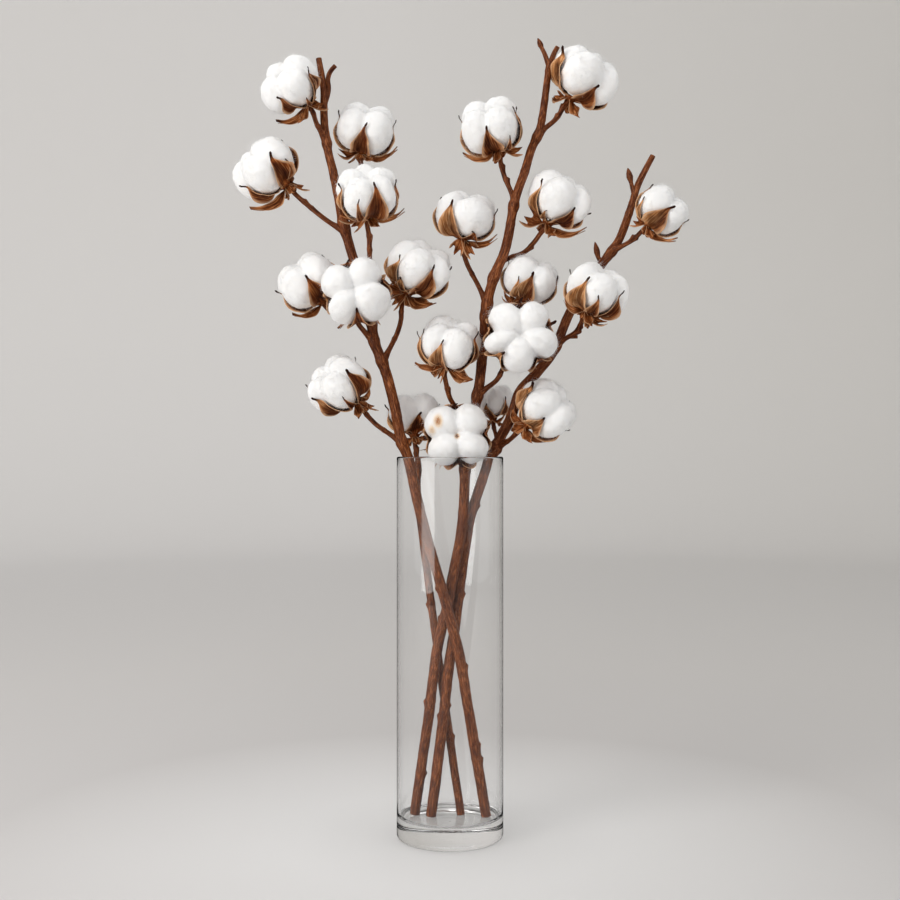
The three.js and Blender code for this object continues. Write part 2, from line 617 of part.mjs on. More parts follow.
// The stems, each a route through points chosen by hand. Side twigs and buds are
// { route, radius, bud }, where a bud is the half thickness of a closed pointed bud at the tip.
const stems = {
  left: {
    radius: 4.9,
    tipRadius: 2.6,
    route: [
      vector(33.8, -4, 20.3), vector(25, -6.5, 74), vector(16, -9, 128), vector(8.5, -11, 173),
      vector(0.9, -12.6, 203), vector(-5.2, -13, 226), vector(-12, -13, 250), vector(-20.7, -12.2, 279),
      vector(-30.1, -11, 316), vector(-39, -9.3, 356), vector(-45.6, -9, 373), vector(-50.8, -9, 401),
      vector(-60.6, -8.5, 438), vector(-71.4, -7, 467), vector(-73.5, -6, 484), vector(-81.8, -4, 514),
      vector(-90.7, -3, 543), vector(-100.6, -2.5, 578), vector(-105.3, -2, 603), vector(-110, -1.5, 626),
      vector(-114.7, -1, 645), vector(-118.3, 0, 672), vector(-119, 1, 702), vector(-123.6, 2, 732),
    ],
    twigs: [
      { route: [vector(-117.8, 1, 690), vector(-114.6, 2, 703), vector(-115, 2, 713),
        vector(-112.8, 2, 719.6), vector(-108.1, 2, 725.2)], radius: 2.1 },
    ],
  },
  centre: {
    radius: 4.9,
    tipRadius: 2.7,
    route: [
      vector(-33.5, 3, 20.3), vector(-27, 1.8, 65), vector(-20.7, 0.5, 109), vector(-13.2, -1, 169),
      vector(-8.5, -1, 193), vector(-2.4, -1, 218), vector(2.8, -1.6, 246), vector(9.4, -1.4, 279),
      vector(12.4, 0.6, 304), vector(13.6, 5, 325), vector(14.6, 10.6, 350), vector(18.2, 13, 378),
      vector(24.4, 13, 406), vector(28.2, 12, 429), vector(31.5, 8, 462), vector(34.8, 0, 500),
      vector(40.4, -4, 523), vector(51.7, -5, 551), vector(61.1, -3, 598), vector(70.5, -2, 626),
      vector(76.1, -1.5, 645), vector(84.1, -1, 664), vector(89.5, 0, 695), vector(93.5, 0, 730),
    ],
    twigs: [
      { route: [vector(93, 0, 724), vector(89, 0.5, 736), vector(86.4, 1, 741.5)], radius: 2, bud: 2.7,
        tip: vector(82.6, 1.4, 751) },
      { route: [vector(92.8, 0, 722), vector(97, -0.5, 734), vector(101, -1, 742)], radius: 2.3 },
    ],
  },
  right: {
    radius: 4.9,
    tipRadius: 2.5,
    route: [
      vector(-17.9, -4, 20.3), vector(-12, -2.4, 65), vector(-6.6, -1, 109), vector(-0.9, 0.6, 161),
      vector(3.2, 2.6, 187), vector(6.6, 5.4, 213), vector(10.6, 8, 243), vector(15, 9.6, 274),
      vector(18.8, 10.2, 297), vector(24.4, 11.2, 316), vector(31, 12, 335), vector(38.5, 12, 356),
      vector(47.9, 13, 375), vector(57.3, 13, 393), vector(66.5, 13.5, 418.6), vector(82.8, 14.5, 436.9),
      vector(97.1, 15.5, 455.2), vector(114.5, 18, 494.9), vector(129, 20, 518.5), vector(144.2, 20, 539.9),
      vector(160.4, 19, 562.1), vector(172.2, 18, 593.4), vector(179.6, 18, 616.7), vector(193.6, 18, 644),
    ],
    twigs: [
      { route: [vector(175.4, 18, 608), vector(172.4, 18, 620)], radius: 1.9, bud: 3.3,
        tip: vector(169.6, 18, 632.4) },
      { route: [vector(145.4, 20, 540), vector(141.4, 19.4, 548)], radius: 2.1, bud: 3.2,
        tip: vector(138.4, 19, 562) },
      { route: [vector(111, 6, 470.4), vector(120.4, 6, 470.2)], radius: 1.7 },
    ],
  },
  back: {
    radius: 3.9,
    tipRadius: 2.7,
    route: [
      vector(10.3, 2, 20.3), vector(5, 4.6, 55), vector(0.6, 7, 86), vector(-5.5, 9.5, 128),
      vector(-12.5, 12, 178), vector(-21.1, 16, 241), vector(-26.3, 18, 279), vector(-31, 20, 316),
      vector(-31.5, 24, 350),
    ],
    twigs: [],
  },
};

// A leaf scar: a low pointed nub that leans up the stem.
function nub(at, outward, along, size) {
  const base = at.clone().addScaledVector(outward, -0.6 * size);
  const top = at.clone().addScaledVector(outward, size).addScaledVector(along, 0.45 * size);
  return bar([base, top], [0.85 * size, 0.25 * size], 3);
}

// A closed bud, fattest a third of the way up.
function bud(from, to, radius) {
  const points = [-0.1, 0.3, 0.7, 1].map((t) => from.clone().lerp(to, t));
  return bar(points, [0.7, 1, 0.72, 0.16].map((f) => f * radius), 6);
}

const NUB_SPACING = 95;

function stemRadius(stem, t) {
  return stem.radius - (stem.radius - stem.tipRadius) * t ** STEM_TAPER_POWER;
}

// Nubs go up a stem in turn on its two sides, a little off centre.
function addNubs(solid, stem, order) {
  const curve = new THREE.CatmullRomCurve3(stem.route, false, 'centripetal');
  const length = curve.getLength();
  let grown = solid;
  for (let k = 1; k * NUB_SPACING < length - 20; k += 1) {
    const t = (k * NUB_SPACING + 14 * draw(order * 100 + k)) / length;
    const along = curve.getTangentAt(t);
    const turn = (k % 2 ? 0 : Math.PI) + 1.6 * (draw(order * 100 + k + 40) - 0.5);
    const outward = vector(Math.cos(turn), -Math.sin(turn), 0);
    outward.addScaledVector(along, -outward.dot(along)).normalize();
    const seat = curve.getPointAt(t).addScaledVector(outward, 0.86 * stemRadius(stem, t));
    grown = grown.add(nub(seat, outward, along, 1.9 + 0.6 * draw(order * 100 + k + 80)));
  }
  return grown;
}

// A stalk widens where it leaves its stem and again under its head.
function stalkBar(head) {
  const under = head.end.clone().addScaledVector(head.axis, -4.5 * head.size);
  const route = smoothRoute([...head.stalk, under], STALK_SPACING);
  const points = [...route, head.end.clone()];
  const slim = Math.min(1, 0.4 + 0.6 * head.size);
  const radii = points.map((_, k) => {
    const t = k / (points.length - 1);
    const root = STALK_ROOT_RADIUS * Math.max(0, 1 - 4 * t);
    const end = STALK_END_RADIUS * Math.max(0, 4 * t - 3);
    const middle = STALK_RADIUS * Math.min(1, 4 * t, 4 - 4 * t);
    return (root + end + middle) * slim;
  });
  return bar(points, radii, STALK_SIDES);
}

function stemSolid(name, order) {
  const stem = stems[name];
  const route = smoothRoute(stem.route, RING_SPACING);
  const radii = route.map((_, k) => stemRadius(stem, k / (route.length - 1)));
  let solid = bar(route, radii, STEM_SIDES, UP);
  for (const twig of stem.twigs) {
    const narrowing = twig.route.map((_, k) => twig.radius * (1.15 - (0.3 * k) / twig.route.length));
    solid = solid.add(bar(twig.route, narrowing, STALK_SIDES));
    if (twig.bud) {
      solid = solid.add(bud(twig.route[twig.route.length - 1], twig.tip, twig.bud));
    }
  }
  for (const head of heads.filter((one) => one.stem === name)) {
    solid = solid.add(stalkBar(head));
    const middle = smoothRoute(head.stalk, 10);
    const at = middle[Math.floor(middle.length / 2)];
    const along = middle[middle.length - 1].clone().sub(middle[0]).normalize();
    const side = vector(0, 0, 0).crossVectors(along, FRONT).normalize();
    const seat = at.clone().addScaledVector(side, 1.7);
    solid = solid.add(nub(seat, side, along, 1.7));
  }
  return addNubs(solid, stem, order);
}

heads.forEach(orient);
Object.keys(stems).forEach((name, order) => {
  addPiece(`stem_${name}`, stemSolid(name, order), BARK);
});
for (const head of heads) {
  addPiece(`bur_${head.name}`, husk(head), HUSK);
  addPiece(`cotton_${head.name}`, lint(head), COTTON);
}

export default bunch;
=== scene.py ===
"""Looks for a bunch of dried cotton stems standing in a tall clear glass cylinder vase.

Metres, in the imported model's frame: +Z up, the middle of the vase's underside at the origin,
+X to the right and -Y towards whoever looks at the arrangement from the front.
"""

import math

import bpy
import numpy as np
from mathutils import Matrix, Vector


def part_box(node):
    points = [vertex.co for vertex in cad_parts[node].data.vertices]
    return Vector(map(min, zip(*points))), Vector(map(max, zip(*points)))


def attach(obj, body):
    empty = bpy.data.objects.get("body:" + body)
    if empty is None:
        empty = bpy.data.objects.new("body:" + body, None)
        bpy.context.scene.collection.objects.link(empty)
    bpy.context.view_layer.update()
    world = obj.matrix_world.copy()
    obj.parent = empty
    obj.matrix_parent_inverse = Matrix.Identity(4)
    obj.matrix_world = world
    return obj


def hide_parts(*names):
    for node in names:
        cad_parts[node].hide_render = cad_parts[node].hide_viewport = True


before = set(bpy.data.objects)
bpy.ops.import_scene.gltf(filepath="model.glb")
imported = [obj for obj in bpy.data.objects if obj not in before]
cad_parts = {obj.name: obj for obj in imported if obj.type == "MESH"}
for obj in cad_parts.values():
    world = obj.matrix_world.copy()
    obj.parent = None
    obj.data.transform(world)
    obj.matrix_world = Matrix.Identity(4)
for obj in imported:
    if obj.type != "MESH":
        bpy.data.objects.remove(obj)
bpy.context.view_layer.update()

# The vase: clear blown glass, a straight cylinder with a thick flat base. The mould rounds its
# foot, the floor inside is dished at the edge, and the lip is rounded in the flame.
MM = 0.001
_, vase_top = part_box("vase")
VASE_RADIUS = vase_top.y
VASE_HEIGHT = vase_top.z
VASE_WALL = 3 * MM
VASE_BASE = 20 * MM
FOOT_ROUNDING = 4 * MM
FLOOR_ROUNDING = 5 * MM
FOOT_RING = 43 * MM
HOLLOW_UNDER_FOOT = 1.6 * MM
VASE_SIDES = 180
FLAT_STEPS, BEND_STEPS, LIP_STEPS, WALL_STEPS = 12, 14, 15, 4
# The grey painted as shade along the glass where it is seen edge-on.
PAINTED_EDGE_SHADE = (0.68, 0.69, 0.69, 1)
GLASS_SHADOW = (0.77, 0.775, 0.775, 1)


def arc(centre, radius, start, end, steps):
    """Points (radius, height) on a circle about centre, between two angles in degrees."""
    turn = np.radians(np.linspace(start, end, steps))
    return np.column_stack([centre[0] + radius * np.cos(turn), centre[1] + radius * np.sin(turn)])


def outward(part):
    """The same shape with its faces turned out, by the sign of the volume that they enclose."""
    points, quads, tris = part["points"], part["quads"], part["tris"]
    halves = np.vstack([quads[:, [0, 1, 2]], quads[:, [0, 2, 3]], tris])
    a, b, c = (points[halves[:, k]] for k in range(3))
    if np.einsum("ij,ij->i", a, np.cross(b, c)).sum() < 0:
        part["quads"], part["tris"] = quads[:, ::-1], tris[:, ::-1]
    return part


def rings(grid, marks):
    """A closed body from a grid of points, ring after ring, each ring joined to the next and the
    first and last closed by a fan about their middle. Marks are values at each point."""
    count, sides = grid.shape[:2]
    ring, spoke = np.meshgrid(np.arange(count - 1), np.arange(sides), indexing="ij")
    here = (ring * sides + spoke).ravel()
    beside = (ring * sides + (spoke + 1) % sides).ravel()
    quads = np.column_stack([here, beside, beside + sides, here + sides])
    points = np.vstack([grid.reshape(-1, 3), grid[0].mean(0), grid[-1].mean(0)])
    marks = marks.reshape(count, sides, -1)
    flat = np.vstack([marks.reshape(count * sides, -1), marks[0].mean(0), marks[-1].mean(0)])
    edge = np.arange(sides)
    following = (edge + 1) % sides
    last = (count - 1) * sides
    low = np.full(sides, count * sides)
    tris = np.vstack([
        np.column_stack([low, following, edge]),
        np.column_stack([low + 1, edge + last, following + last]),
    ])
    return outward({"points": points, "quads": quads, "tris": tris, "marks": flat})


def add_piece(name, part, mark_names, material, slot, *nodes):
    """The shape as an object that stands for its CAD nodes, each mark kept as an attribute."""
    mesh = bpy.data.meshes.new(name)
    mesh.from_pydata(part["points"].tolist(), [], part["quads"].tolist() + part["tris"].tolist())
    for column, mark in enumerate(mark_names):
        layer = mesh.attributes.new(mark, "FLOAT", "POINT")
        layer.data.foreach_set("value", part["marks"][:, column].astype(np.float32))
    mesh.shade_smooth()
    mesh.materials.append(material)
    piece = bpy.data.objects.new(name, mesh)
    bpy.context.scene.collection.objects.link(piece)
    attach(piece, "root")
    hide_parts(*nodes)


def new_material(name, **values):
    """A material with its Principled shader's sockets set by name, where _ stands for a space."""
    material = bpy.data.materials.new(name)
    material.use_nodes = True
    shader = material.node_tree.nodes["Principled BSDF"]
    for socket, value in values.items():
        shader.inputs[socket.replace("_", " ")].default_value = value
    return material, material.node_tree, shader


def lathed(profile, sides):
    """A grid of points: a profile of (radius, height) carried round the upright axis."""
    turn = np.linspace(0, 2 * math.pi, sides, endpoint=False)
    return np.stack([
        profile[:, :1] * np.cos(turn),
        profile[:, :1] * np.sin(turn),
        profile[:, 1:] + 0 * turn,
    ], axis=-1)


lip = VASE_WALL / 2
inside = VASE_RADIUS - VASE_WALL
under_foot = np.column_stack([
    np.linspace(0.05, 1, FLAT_STEPS) * FOOT_RING,
    np.linspace(1, 0, FLAT_STEPS) ** 0.5 * HOLLOW_UNDER_FOOT,
])
outer_wall = np.column_stack([
    np.full(WALL_STEPS, VASE_RADIUS),
    np.linspace(0.03, 0.97, WALL_STEPS) * (VASE_HEIGHT - lip),
])
inner_wall = np.column_stack([
    np.full(WALL_STEPS, inside),
    np.linspace(0.97, 0.1, WALL_STEPS) * (VASE_HEIGHT - lip),
])
inner_floor = np.column_stack([
    np.linspace(0.95, 0.05, FLAT_STEPS) * (inside - FLOOR_ROUNDING),
    np.full(FLAT_STEPS, VASE_BASE),
])
vase_grid = lathed(np.vstack([
    under_foot,
    arc((VASE_RADIUS - FOOT_ROUNDING, FOOT_ROUNDING), FOOT_ROUNDING, -90, 0, BEND_STEPS),
    outer_wall,
    arc((VASE_RADIUS - lip, VASE_HEIGHT - lip), lip, 0, 180, LIP_STEPS),
    inner_wall,
    arc((inside - FLOOR_ROUNDING, VASE_BASE + FLOOR_ROUNDING), FLOOR_ROUNDING, 0, -90, BEND_STEPS),
    inner_floor,
]), VASE_SIDES)

glass, tree, shader = new_material(
    "clear_glass", Roughness=0.0, IOR=1.45, Transmission_Weight=1.0, Specular_IOR_Level=0.24,
)
nodes, links = tree.nodes, tree.links
# Painted shade: the glass's colour turns grey where its surface is seen edge-on, drawing dark lines
# down its sides.
facing = nodes.new("ShaderNodeLayerWeight")
facing.inputs["Blend"].default_value = 0.5
painted_edge_shade = nodes.new("ShaderNodeValToRGB")
painted_edge_shade.color_ramp.elements[0].position = 0.84
painted_edge_shade.color_ramp.elements[0].color = (1, 1, 1, 1)
painted_edge_shade.color_ramp.elements[1].position = 0.98
painted_edge_shade.color_ramp.elements[1].color = PAINTED_EDGE_SHADE
links.new(facing.outputs["Facing"], painted_edge_shade.inputs["Fac"])
links.new(painted_edge_shade.outputs["Color"], shader.inputs["Base Color"])
clear = nodes.new("ShaderNodeBsdfTransparent")
clear.inputs["Color"].default_value = GLASS_SHADOW
let_through = nodes.new("ShaderNodeMixShader")
links.new(nodes.new("ShaderNodeLightPath").outputs["Is Shadow Ray"], let_through.inputs[0])
links.new(shader.outputs[0], let_through.inputs[1])
links.new(clear.outputs[0], let_through.inputs[2])
links.new(let_through.outputs[0], nodes["Material Output"].inputs["Surface"])
add_piece("glass_vase", rings(vase_grid, 0 * vase_grid[..., :1]), [], glass, "glass", "vase")

# The stems: dry brown wood, cut flat at both ends, with stalks that leave them at their joints.
# The bark is ridged lengthwise and flecked, and a leaf scar stands out as a nub at each joint.
STEM_SIDES = 22
STALK_SIDES = 14
BUD_SIDES = 14
RING_STEP = 1.5 * MM
CURVE_STEPS = 24
NUB_SPACING = 47 * MM
NUB_HEIGHT = 1.5 * MM
NUB_WIDTH = 1.9 * MM
NUB_UPPER_LENGTH, NUB_LOWER_LENGTH = 1.5 * MM, 4.2 * MM
HIGHEST_LISTED_NUB = 360 * MM
JOINT_SWELLING, JOINT_LENGTH = 1.2 * MM, 5 * MM
STALK_RADIUS = 2.3 * MM
STALK_END_RADIUS = 2.9 * MM
STALK_ROOT_RADIUS = 4.2 * MM

# Each stem's radii, route, twigs and buds, in mm. Its nubs inside the vase are (height, side), and
# its seed starts its draws.
STEMS = {
    "left": {
        "radius": 4.9, "tip_radius": 2.7, "seed": 11,
        "nubs": [(235.5, -1), (162.1, 1), (88.8, 1), (74.7, 1)],
        "route": [
            (33.8, -4, 20.2), (25, -6.5, 74), (16, -9, 128), (8.5, -11, 173), (0.9, -12.6, 203),
            (-5.2, -13, 226), (-12, -13, 250), (-20.7, -12.2, 279), (-30.1, -11, 316),
            (-39, -9.3, 356), (-45.6, -9, 373), (-50.8, -9, 401), (-60.6, -8.5, 438),
            (-71.4, -7, 467), (-73.5, -6, 484), (-81.8, -4, 514), (-90.7, -3, 543),
            (-100.6, -2.5, 578), (-105.3, -2, 603), (-110, -1.5, 626), (-114.7, -1, 645),
            (-118.3, 0, 672), (-119, 1, 702), (-123.6, 2, 732),
        ],
        "twigs": [
            {"route": [(-117.8, 1, 690), (-114.6, 2, 703), (-115, 2, 713), (-112.8, 2, 719.6),
                       (-108.1, 2, 725.2)], "radius": 2.2},
        ],
    },
    "centre": {
        "radius": 4.9, "tip_radius": 2.8, "seed": 23,
        "nubs": [(304, 1), (205, -1), (126.4, -1), (60, 1)],
        "route": [
            (-33.5, 3, 20.2), (-27, 1.8, 65), (-20.7, 0.5, 109), (-13.2, -1, 169), (-8.5, -1, 193),
            (-2.4, -1, 218), (2.8, -1.6, 246), (9.4, -1.4, 279), (12.4, 0.6, 304), (13.6, 5, 325),
            (14.6, 10.6, 350), (18.2, 13, 378), (24.4, 13, 406), (28.2, 12, 429), (31.5, 8, 462),
            (34.8, 0, 500), (40.4, -4, 523), (51.7, -5, 551), (61.1, -3, 598), (70.5, -2, 626),
            (76.1, -1.5, 645), (84.1, -1, 664), (89.5, 0, 695), (93.5, 0, 730),
        ],
        "twigs": [
            {"route": [(93, 0, 724), (89, 0.5, 736), (86.4, 1, 741.5)], "radius": 2,
             "bud": 2.7, "tip": (82.6, 1.4, 751)},
            {"route": [(92.8, 0, 722), (97, -0.5, 734), (101, -1, 742)], "radius": 2.4},
        ],
    },
    "right": {
        "radius": 4.9, "tip_radius": 2.6, "seed": 37,
        "nubs": [(311.6, 1), (228.9, 1), (124.5, 1), (113.3, -1)],
        "route": [
            (-17.9, -4, 20.2), (-12, -2.4, 65), (-6.6, -1, 109), (-0.9, 0.6, 161), (3.2, 2.6, 187),
            (6.6, 5.4, 213), (10.6, 8, 243), (15, 9.6, 274), (18.8, 10.2, 297), (24.4, 11.2, 316),
            (31, 12, 335), (38.5, 12, 356), (47.9, 13, 375), (57.3, 13, 393), (66.5, 13.5, 418.6),
            (82.8, 14.5, 436.9), (97.1, 15.5, 455.2), (114.5, 18, 494.9), (129, 20, 518.5),
            (144.2, 20, 539.9), (160.4, 19, 562.1), (172.2, 18, 593.4), (179.6, 18, 616.7),
            (193.6, 18, 644),
        ],
        "twigs": [
            {"route": [(175.4, 18, 608), (172.4, 18, 620)], "radius": 1.9, "bud": 3.2,
             "tip": (169.6, 18, 632.4)},
            {"route": [(145.4, 20, 540), (141.4, 19.4, 548)], "radius": 2.1, "bud": 3.1,
             "tip": (138.4, 19, 562)},
            {"route": [(111, 6, 470.4), (120.4, 6, 470.2)], "radius": 1.7},
        ],
    },
    "back": {
        "radius": 3.9, "tip_radius": 2.7, "seed": 53,
        "nubs": [(217.6, -1), (150, 1), (92.6, 1)],
        "route": [
            (10.3, 2, 20.2), (5, 4.6, 55), (0.6, 7, 86), (-5.5, 9.5, 128), (-12.5, 12, 178),
            (-21.1, 16, 241), (-26.3, 18, 279), (-31, 20, 316), (-31.5, 24, 350),
        ],
        "twigs": [],
    },
}

